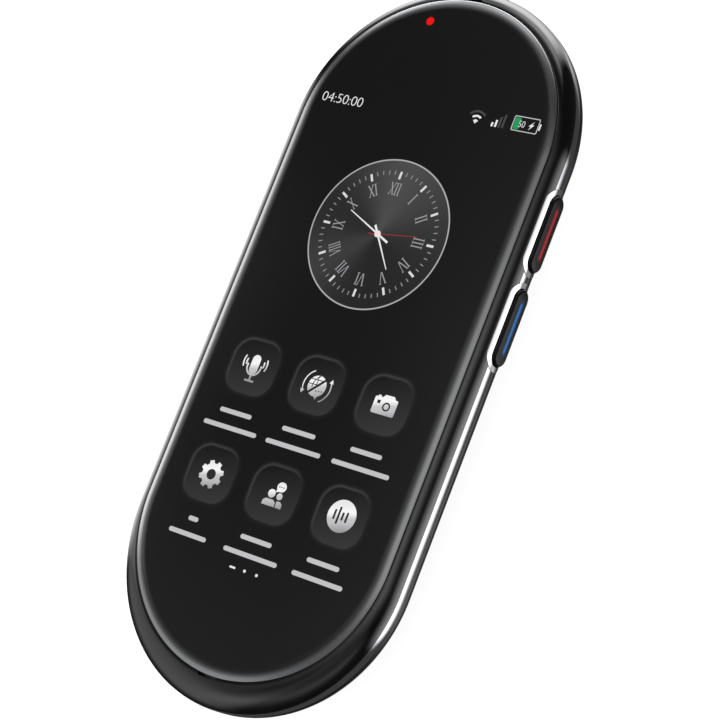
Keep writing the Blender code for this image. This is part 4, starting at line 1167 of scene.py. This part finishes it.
ICONS = {
    "microphone": (
        ("plate", 0, 0.55, 1.65, 3.3, 0.82), ("arc", 0, 0.1, 1.35, 0.30, 180, 360),
        ("plate", -1.35, 0.3, 0.30, 0.5, 0.05, 8), ("plate", 1.35, 0.3, 0.30, 0.5, 0.05, 8),
        ("plate", 0, -1.7, 0.32, 0.9, 0.05, 8), ("plate", 0, -2.25, 1.9, 0.34, 0.15),
        ("arc", 0, 0.8, 1.75, 0.26, -17, 17, 8), ("arc", 0, 0.8, 1.75, 0.26, 163, 197, 8),
        ("arc", 0, 0.8, 2.35, 0.26, -24, 24, 8), ("arc", 0, 0.8, 2.35, 0.26, 156, 204, 8),
    ),
    "globe": (
        ("segment", 1.75, 52, 218), ("segment", 1.75, 232, 398),
        ("polygon", (0.1, -1.65), (0.45, -2.2), (0.75, -1.5)),
        ("arc", 0, 0, 2.65, 0.2, -62, 24, 14), ("arc", 0, 0, 2.65, 0.2, 118, 204, 14),
        ("polygon", (2.05, 1.0), (2.5, 1.65), (2.85, 0.95)),
        ("polygon", (-2.05, -1.0), (-2.5, -1.65), (-2.85, -0.95)),
    ),
    "camera": (
        ("plate", 0, -0.1, 4.3, 2.75, 0.3), ("polygon", (-0.85, 1.2), (-0.4, 1.75), (1.25, 1.75), (1.65, 1.2)),
        ("plate", -1.4, 1.33, 0.55, 0.35, 0.05, 8),
    ),
    "gear": (("polygon", *[
        polar(reach, 45 * tooth + turn)
        for tooth in range(8) for turn, reach in ((4, 1.85), (10, 2.35), (28, 2.35), (34, 1.85))
    ]),),
    "people": (
        ("plate", -0.5, 0.2, 1.4, 1.4, 0.7), ("plate", 1.1, 0.05, 1.1, 1.1, 0.55),
        ("polygon", (-1.75, -1.8), (-1.7, -1.1), (-1.2, -0.72), (0.2, -0.72), (0.7, -1.1), (0.75, -1.8)),
        ("polygon", (0.95, -1.8), (0.9, -0.75), (1.6, -0.72), (2.05, -1.1), (2.1, -1.8)),
        ("plate", 0.9, 1.55, 1.75, 1.6, 0.8), ("polygon", (0.2, 1.1), (0.1, 0.55), (0.8, 0.8)),
    ),
    "recorder": (("plate", 0, 0.25, 5.2, 5.2, 2.6, 64),),
}

# The dark marks that lie on the silver icons, by the tile's number
ICON_MARKS = {
    2: (("hoop", 0.35, -0.1, 0.45, 0.72, 32), ("plate", -1.25, 0.45, 0.6, 0.55, 0.06, 8)),
    5: [
        ("plate", x, 0.25, 0.38, long, 0.19, 16)
        for x, long in ((-1.32, 1.65), (-0.58, 2.8), (0.18, 1.35), (0.95, 1.7))
    ],
    4: [("plate", x, 1.55, 0.24, 0.24, 0.12, 12) for x in (0.48, 0.9, 1.32)],
    1: (
        *[("plate", 0.55 + x, -0.75 + x * 0.1, 0.26, 0.26, 0.13, 12) for x in (-0.4, 0.12, 0.64)],
        ("plate", -0.3, 1.0, 2.3, 0.15, 0.03, 8), ("plate", -0.9, 0.2, 1.7, 0.15, 0.03, 8),
        ("plate", -0.15, 0.95, 0.15, 1.7, 0.03, 8), ("arc", 0.95, 0, 1.85, 0.15, 115, 190, 10),
    ),
    3: (("plate", 0, 0, 1.75, 1.75, 0.875, 32),),
}

# Lines under the tiles: the height of a row, and the width in each column
LABELS = (
    (-17.85, (6.5, 6.6, 6.0)), (-20.45, (10.9, 10.9, 11.0)), (-36.0, (2.0, 6.2, 6.2)), (-38.6, (7.7, 10.7, 9.7)),
)
PAGES = (
    ("plate", -2.74, -41.05, 1.2, 0.34, 0.17, 12), ("plate", -0.32, -41.0, 0.5, 0.5, 0.25, 16),
    ("plate", 2.09, -41.0, 0.5, 0.5, 0.25, 16),
)


def tile_material():
    """A raised dark tile: soft fill, a bright upper-left rim and a faint glow beyond its edge."""
    material, tree = start_material("raised_tile")
    across, along, _ = split(source(tree, "ShaderNodeUVMap", "UV"))
    over = [abs(way) - (TILE_HALF - TILE_CORNER) for way in (across, along)]
    outside = hypot(*[past.step("MAXIMUM", 0.0) for past in over])
    distance = outside + over[0].step("MAXIMUM", over[1]).step("MINIMUM", 0.0) - TILE_CORNER
    fill = distance.span(0.12, -0.12)
    shade_of = blend((across * 0.3 - along).span(-5.5, 5.0, kind="LINEAR"), tone(16, 16, 16), tone(51, 51, 51))
    upper_left = (along - across).span(-3.0, 5.0)
    line = abs(distance - 0.12).span(0.38, 0.0) * upper_left
    glow = distance.span(1.0, 0.0, kind="LINEAR") ** 2.0
    around = dimmed(colour_of("screen"), SCREEN_GLOW)
    beyond = blend(glow * upper_left.span(0.0, 1.0, 0.3, 1.0), around, tone(44, 44, 45))
    light = blend(line * 0.7, blend(fill, beyond, shade_of), tone(58, 58, 59))
    return lit_surface(material, light, 0.06, blend(fill, colour_of("screen"), (0.003, 0.003, 0.003, 1.0)))


class TRANSLATOR_OT_tiles(bpy.types.Operator):
    """Draw the six tiles, their icons, the label lines and the page marks"""

    bl_idname = "translator.tiles"
    bl_label = "Tiles"

    def execute(self, context):
        start_piece("tile_1")
        Pen(layer=PANEL_LAYER).plate(0, 0, 11.4, 11.4, 4.25, 48)
        tiles = [finish_graphic(tile_material(), (0, 0))]
        for number in range(2, 7):
            tile = tiles[0].copy()
            tile.data = tiles[0].data.copy()
            tile.name = f"tile_{number}"
            bpy.context.collection.objects.link(tile)
            tiles.append(tile)
        silver = glyph_material()
        for tile, spot, (label, rows) in zip(tiles, TILES, ICONS.items()):
            tile.data.transform(Matrix.Translation((spot[0] * MM, spot[1] * MM, 0)))
            start_piece("icon_" + label)
            Pen(*spot).draw(rows)
            finish_graphic(silver, spot)
        start_piece("icon_marks")
        for number, rows in ICON_MARKS.items():
            Pen(*TILES[number], DETAIL_LAYER).draw(rows)
        finish_graphic(lit("icon_mark_dark", 44, 44, 45))
        graphic("label_lines", lit("label_light", 196, 196, 198), [
            ("plate", x, y, width, 0.78, 0.39, 16) for y, widths in LABELS for x, width in zip(TILE_COLUMNS, widths)])
        graphic("page_marks", lit("page_light", 236, 236, 236), PAGES)
        return {"FINISHED"}


# Status row
STATUS_MARKS = (
    ("arc", 9.3, 37.5, 1.15, 0.34, 48, 132, 10),
    ("polygon", (9.3, 37.35), (8.82, 37.85), (9.3, 38.08), (9.78, 37.85)),
    ("plate", 12.45, 37.75, 0.36, 0.7, 0.04, 8), ("plate", 13.1, 38.0, 0.36, 1.2, 0.04, 8),
    ("plate", 20.95, 38.65, 0.3, 1.1, 0.1, 8),
    ("polygon", (19.75, 39.35), (18.95, 38.5), (19.35, 38.5), (19.1, 37.9), (19.9, 38.8), (19.5, 38.8)),
)
DIM_MARKS = (
    ("arc", 9.3, 37.5, 1.95, 0.34, 44, 136),
    ("plate", 13.75, 38.3, 0.36, 1.8, 0.04, 8), ("plate", 14.4, 38.55, 0.36, 2.3, 0.04, 8),
)
CELL_OUTLINE = (
    ("plate", 18.33, 39.87, 4.5, 0.14, 0.06, 8), ("plate", 18.33, 37.47, 4.5, 0.14, 0.06, 8),
    ("plate", 16.04, 38.67, 0.14, 2.1, 0.06, 8), ("plate", 20.63, 38.67, 0.14, 2.1, 0.06, 8),
    ("arc", 16.3, 39.64, 0.24, 0.14, 90, 180, 5), ("arc", 16.3, 37.7, 0.24, 0.14, 180, 270, 5),
    ("arc", 20.4, 37.7, 0.24, 0.14, 270, 360, 5), ("arc", 20.4, 39.64, 0.24, 0.14, 0, 90, 5),
)
# A digit's height over the font's size, the spacing, and how far strokes are thinned over the height
DIGIT_SHARE, DIGIT_SPACING, DIGIT_THINNING = 0.72, 0.96, 0.022


def lettering(name, words, x, y, height, narrow, material, layer=GLYPH_LAYER):
    """Numbers on the screen, made from text. The place is the left end of the line's foot."""
    bpy.ops.object.select_all(action="DESELECT")
    bpy.ops.object.text_add(location=(0, 0, 0))
    drawn = bpy.context.object.data
    drawn.body = words
    drawn.size = height * MM / DIGIT_SHARE
    drawn.extrude = (SCREEN - layer + PLATE_SINK) / 2
    drawn.space_character = DIGIT_SPACING
    drawn.offset = -DIGIT_THINNING * height * MM
    bpy.ops.object.convert(target="MESH")
    piece = bpy.context.object
    piece.name = piece.data.name = name
    bpy.ops.object.mode_set(mode="EDIT")
    merge()
    bpy.ops.transform.resize(value=(narrow, 1, 1), center_override=(0, 0, 0))
    bpy.ops.object.mode_set(mode="OBJECT")
    top = max(point.co.z for point in piece.data.vertices)
    settle(piece, (*Pen(x, y).spot(0, 0), FACE - layer - top))
    return dress(piece, material, "case", "black_glass")


class TRANSLATOR_OT_status_row(bpy.types.Operator):
    """Draw the status row and the indicator light"""

    bl_idname = "translator.status_row"
    bl_label = "Status row"

    def execute(self, context):
        white = lit("status_light", 236, 236, 238)
        lettering("clock_digits", "04:50:00", -21.1, 36.4, 1.75, 1.06, white)
        graphic("status_marks", white, STATUS_MARKS)
        graphic("status_dim_marks", lit("status_dim", 72, 72, 74), DIM_MARKS)
        graphic("cell_outline", lit("cell_outline_light", 206, 206, 208), CELL_OUTLINE)
        charge = (("plate", 16.75, 38.67, 1.05, 2.0, 0.12, 8),)
        graphic("cell_charge", lit("cell_charge_light", 40, 152, 92), charge)
        lettering("cell_number", "50", 17.0, 38.1, 1.15, 0.82, white, DETAIL_LAYER)
        spot = (middle("indicator_light_pipe") - GLASS_MIDDLE) / MM
        dot = (("plate", -0.1, 0.05, 1.45, 1.45, 0.725),)
        graphic("indicator_dot", lit("indicator_red", 238, 18, 20), dot, spot.x, spot.y)
        return {"FINISHED"}


# Inner parts: for each finish what moulded() is given, and the nodes that have it
FINISHES = {
    "moulded_black_part": (
        ((34, 34, 36), 0.75, (0.4, 0.55), 2600, 150, 0.000004), {},
        "earpiece_receiver processor camera_module loudspeaker red_switch_body blue_switch_body power_switch_body"),
    "rolled_steel": (
        ((196, 198, 202), 0.88, (0.28, 0.42), 2200, 130, 0.000002), {"metal": 1.0},
        "microphone board_shield vibration_motor board_screw"),
    "stamped_alloy": (
        ((168, 172, 178), 0.85, (0.34, 0.46), 3000, 90, 0.000003), {"metal": 1.0},
        "chassis_plate red_switch_plunger blue_switch_plunger power_switch_plunger"),
    "drawn_socket_shell": (((205, 207, 212), 0.9, (0.2, 0.3), 1800, 260, 0.000001), {"metal": 1.0}, "usb_socket"),
    "cell_foil": (((176, 180, 186), 0.8, (0.3, 0.5), 500, 60, 0.00003), {"metal": 0.7}, "battery"),
    "amber_flex_film": (
        ((158, 98, 34), 0.7, (0.3, 0.42), 1500, 400, 0.000002), {"coat": 0.3}, "display_ribbon antenna"),
    "black_foam_tape": (((22, 22, 22), 0.7, (0.7, 0.85), 4000, 200, 0.00001), {}, "glass_adhesive"),
    "red_light_pipe": (((196, 20, 22), 0.8, (0.12, 0.2), 1500, 200, 0.000001), {}, "indicator_light_pipe"),
    "warm_emitter": (((226, 204, 120), 0.9, (0.3, 0.42), 2400, 300, 0.000002), {}, "flash_led"),
    "dark_display_glass": (((20, 20, 24), 0.8, (0.06, 0.1), 1200, 80, 0.0000006), {}, "display_panel"),
}


def board_material():
    """A green board: darker copper traces under the mask and small bright pads."""
    material, tree = start_material("green_circuit_board")
    place = own_place(tree)
    stripes = add(tree, "ShaderNodeTexBrick", {
        "Vector": place, "Color1": tone(16, 78, 48), "Color2": tone(22, 96, 58), "Mortar": tone(12, 58, 38),
        "Scale": 900.0, "Mortar Size": 0.03, "Brick Width": 1.4, "Row Height": 0.5,
    })[0]
    cells = add(tree, "ShaderNodeTexVoronoi", {"Vector": place, "Scale": 700.0, "Randomness": 0.4})[0]
    pad = cells.span(0.16, 0.12)
    return surface(material, {
        "Base Color": blend(pad, stripes, tone(206, 182, 120)),
        "Metallic": pad * 0.9,
        "Roughness": cells.span(0.0, 0.5, 0.3, 0.5),
    })


def punched_material(name, colour, pitch):
    """A fine punched sheet: dark round holes in a metal web."""
    material, tree = start_material(name)
    hole = effect(tree, HOLES, Pitch=pitch, Share=0.32)[0]
    return surface(material, {
        "Base Color": blend(hole, colour, (0.001, 0.001, 0.001, 1.0)),
        "Metallic": (1.0 - hole) * 0.8,
        "Roughness": grain(tree, 3000, 0.35, 0.5, 300)[0],
        "Normal": bump(1.0 - hole, 0.00004, 0.8),
    })


class TRANSLATOR_OT_inner_parts(bpy.types.Operator):
    """Give the parts inside the case and behind its openings their finishes"""

    bl_idname = "translator.inner_parts"
    bl_label = "Inner parts"

    def execute(self, context):
        finishes = {}
        for name, ((colour, *numbers), more, nodes) in FINISHES.items():
            finishes.update(dict.fromkeys(nodes.split(), moulded(name, tone(*colour), *numbers, **more)))
        boards = ("main_board", "usb_board", "side_key_board", "power_key_board")
        finishes.update(dict.fromkeys(boards, board_material()))
        fine = punched_material("punched_mesh", tone(70, 70, 74), 0.00028)
        finishes.update(earpiece_mesh=fine, microphone_mesh=fine)
        finishes["speaker_mesh"] = punched_material("speaker_cloth_mesh", tone(58, 58, 62), 0.00034)
        for name, node in NODES.items():
            if not node.hide_render:
                node.data.materials.clear()
                node.data.materials.append(finishes["board_screw" if name.startswith("board_screw") else name])
        return {"FINISHED"}


# Stage

CAMERA_PLACE = (0.18448, -0.05023, 0.27112)
CAMERA_RIGHT = Vector((0.79703327, 0.36082903, -0.4842937))
CAMERA_DOWN = Vector((0.22248933, -0.9209282, -0.31998399))
CAMERA_LENS = 102.52

# Light over height, and the ceiling strip's over X and over Y
AMBIENT = ((-1.0, 0.06), (-0.5, 0.05), (0.0, 0.03), (1.0, 0.03))
STRIP_ALONG = (
    (-0.72, 0.0), (-0.56, 0.04), (-0.45, 0.42), (-0.31, 0.76), (-0.08, 0.92), (0.16, 0.72), (0.36, 0.42),
    (0.57, 0.18), (0.72, 0.06), (0.85, 0.0),
)
STRIP_ACROSS = (
    (-0.24, 0.0), (-0.12, 0.3), (0.0, 0.95), (0.17, 1.0), (0.23, 0.65), (0.29, 0.3), (0.41, 0.06), (0.55, 0.0),
)

# Facing, full half-width, dark half-width, brightness over height, strength
CARDS = (
    (-3, 13, 30, (
        (-1.0, 0.03), (-0.93, 0.05), (-0.86, 0.28), (-0.78, 0.6), (-0.65, 0.9), (-0.48, 0.96), (-0.33, 0.96),
        (-0.11, 0.8), (0.12, 0.5), (0.36, 0.22), (0.52, 0.05), (0.65, 0.0)), 2.4),
    (113, 19, 42, (
        (-0.9, 0.0), (-0.7, 0.1), (-0.5, 0.35), (-0.2, 0.8), (0.0, 1.0), (0.2, 1.0), (0.3, 0.6), (0.36, 0.3),
        (0.43, 0.14), (0.5, 0.17), (0.58, 0.19), (0.65, 0.16), (0.7, 0.07), (0.76, 0.03), (0.84, 0.0)), 5.0),
    (98, 8, 26, ((0.2, 0.0), (0.4, 0.8), (0.53, 1.0), (0.62, 0.5), (0.7, 0.08), (0.78, 0.0)), 1.4),
    (173.5, 3, 16, (
        (-0.8, 0.0), (-0.6, 0.3), (-0.4, 0.8), (-0.08, 1.0), (0.26, 0.9), (0.31, 0.6), (0.37, 0.5), (0.5, 0.43),
        (0.62, 0.36), (0.72, 0.18), (0.79, 0.0)), 3.0),
    (212, 15, 42, (
        (-0.2, 0.0), (0.05, 0.35), (0.2, 0.8), (0.4, 1.0), (0.6, 0.95), (0.68, 0.9), (0.75, 0.7), (0.8, 0.4),
        (0.87, 0.15), (1.0, 0.05)), 0.66),
    (-88, 28, 62, (
        (0.0, 0.0), (0.3, 0.04), (0.5, 0.2), (0.65, 0.6), (0.74, 0.9), (0.8, 0.75), (0.85, 0.5), (0.9, 0.35),
        (0.95, 0.45), (1.0, 0.15)), 0.42),
)


def vector_step(operation, first, second):
    """One step of vector arithmetic. Returns the vector and the value."""
    return add(first.tree, "ShaderNodeVectorMath", {0: first, 1: second}, operation=operation)


def rise(value, stops):
    """Brightness along one axis of the sky, from -1 to 1."""
    band = [((place + 1) / 2, (glow, glow, glow, 1.0)) for place, glow in stops]
    return ramp(value.span(-1.0, 1.0, kind="LINEAR"), band, "LINEAR")


def card(flat, level, facing, narrow, wide, stops, strength):
    """One soft studio card: a fan of directions round the table, in degrees, at heights given by stops."""
    aim = vector_step("DOT_PRODUCT", flat, (*polar(1.0, facing), 0.0))[1]
    fan = aim.span(math.cos(math.radians(wide)), math.cos(math.radians(narrow)))
    return fan * rise(level, stops) * strength


def build_world():
    """Plain soft studio light: pale cards and a ceiling strip, on a white background."""
    world = bpy.data.worlds.new("soft_studio")
    bpy.context.scene.world = world
    world.use_nodes = True
    tree = world.node_tree
    tree.nodes.clear()
    way = source(tree, "ShaderNodeTexCoord", "Generated")
    x, y, level = split(way)
    flat = vector_step("NORMALIZE", vector_step("MULTIPLY", way, (1.0, 1.0, 0.0))[0], (0.0, 0.0, 0.0))[0]
    total = rise(level, AMBIENT)
    for row in CARDS:
        total = total + card(flat, level, *row)
    total = total + rise(x, STRIP_ALONG) * rise(y, STRIP_ACROSS) * level.span(0.0, 0.3)
    studio = add(tree, "ShaderNodeBackground", {"Color": WHITE, "Strength": total})[0]
    white = add(tree, "ShaderNodeBackground", {"Color": WHITE, "Strength": 1.05})[0]
    seen = source(tree, "ShaderNodeLightPath", "Is Camera Ray")
    both = add(tree, "ShaderNodeMixShader", {0: seen, 1: studio, 2: white})[0]
    feed(tree, tree.nodes.new("ShaderNodeOutputWorld"), {"Surface": both})


def table_material():
    """A pale light table that is clear from below."""
    material, tree = start_material("pale_table")
    surface(material, {
        "Base Color": colour_of("table"), "Roughness": grain(tree, 40, 0.5, 0.6, 3)[0],
        "Emission Color": WHITE, "Emission Strength": 0.9,
    })
    seen = Signal(tree, tree.nodes["Principled BSDF"].outputs[0])
    clear = add(tree, "ShaderNodeBsdfTransparent")[0]
    below = source(tree, "ShaderNodeNewGeometry", "Backfacing")
    both = add(tree, "ShaderNodeMixShader", {0: below, 1: seen, 2: clear})[0]
    feed(tree, tree.nodes["Material Output"], {"Surface": both})
    return material


class TRANSLATOR_OT_stage(bpy.types.Operator):
    """Set the pale table, the soft light and the camera"""

    bl_idname = "translator.stage"
    bl_label = "Stage"

    def execute(self, context):
        bpy.ops.object.select_all(action="DESELECT")
        bpy.ops.mesh.primitive_plane_add(size=6.0, location=(0.9, 0.3, CAD_BOX[0][2] - 0.0002))
        table = bpy.context.object
        table.name = "pale_table"
        bpy.ops.object.transform_apply(location=True, rotation=True, scale=True)
        table.data.materials.append(table_material())
        table.visible_glossy = False
        build_world()
        context.scene.view_settings.view_transform = "Standard"
        bpy.ops.object.camera_add(location=CAMERA_PLACE)
        camera = bpy.context.object
        camera.name = "photo_camera"
        turn = Matrix((CAMERA_RIGHT, -CAMERA_DOWN, -CAMERA_RIGHT.cross(CAMERA_DOWN))).transposed()
        camera.matrix_world = Matrix.Translation(CAMERA_PLACE) @ turn.to_4x4()
        camera.data.sensor_width, camera.data.lens = 36.0, CAMERA_LENS
        camera.data.clip_start, camera.data.clip_end = 0.01, 10.0
        context.scene.camera = camera
        return {"FINISHED"}


STEPS = (
    TRANSLATOR_OT_cover_glass,
    TRANSLATOR_OT_front_housing,
    TRANSLATOR_OT_metal_band,
    TRANSLATOR_OT_back_cover,
    TRANSLATOR_OT_talk_buttons,
    TRANSLATOR_OT_power_key,
    TRANSLATOR_OT_back_fittings,
    TRANSLATOR_OT_clock,
    TRANSLATOR_OT_tiles,
    TRANSLATOR_OT_status_row,
    TRANSLATOR_OT_inner_parts,
    TRANSLATOR_OT_stage,
)


class TRANSLATOR_PT_panel(bpy.types.Panel):
    """Lists the building steps and the settings"""

    bl_idname = "TRANSLATOR_PT_panel"
    bl_label = "Handheld Translator"
    bl_space_type = "VIEW_3D"
    bl_region_type = "UI"
    bl_category = "Translator"

    def draw(self, context):
        for step in STEPS:
            self.layout.operator(step.bl_idname)
        for group in (context.scene.translator_sizes, context.scene.translator_colours):
            for name in group.bl_rna.properties.keys():
                if name not in {"rna_type", "name"}:
                    self.layout.prop(group, name)


CLASSES = (TranslatorSizes, TranslatorColours, *STEPS, TRANSLATOR_PT_panel)


def register():
    """Register every class and the two settings groups."""
    for kind in CLASSES:
        bpy.utils.register_class(kind)
    bpy.types.Scene.translator_sizes = bpy.props.PointerProperty(type=TranslatorSizes)
    bpy.types.Scene.translator_colours = bpy.props.PointerProperty(type=TranslatorColours)


def unregister():
    """Take the settings and classes out again."""
    del bpy.types.Scene.translator_sizes
    del bpy.types.Scene.translator_colours
    for kind in reversed(CLASSES):
        bpy.utils.unregister_class(kind)


def main():
    """Register the add-on and run every step in order."""
    register()
    for step in STEPS:
        group, name = step.bl_idname.split(".")
        getattr(getattr(bpy.ops, group), name)()


if __name__ == "__main__":
    main()
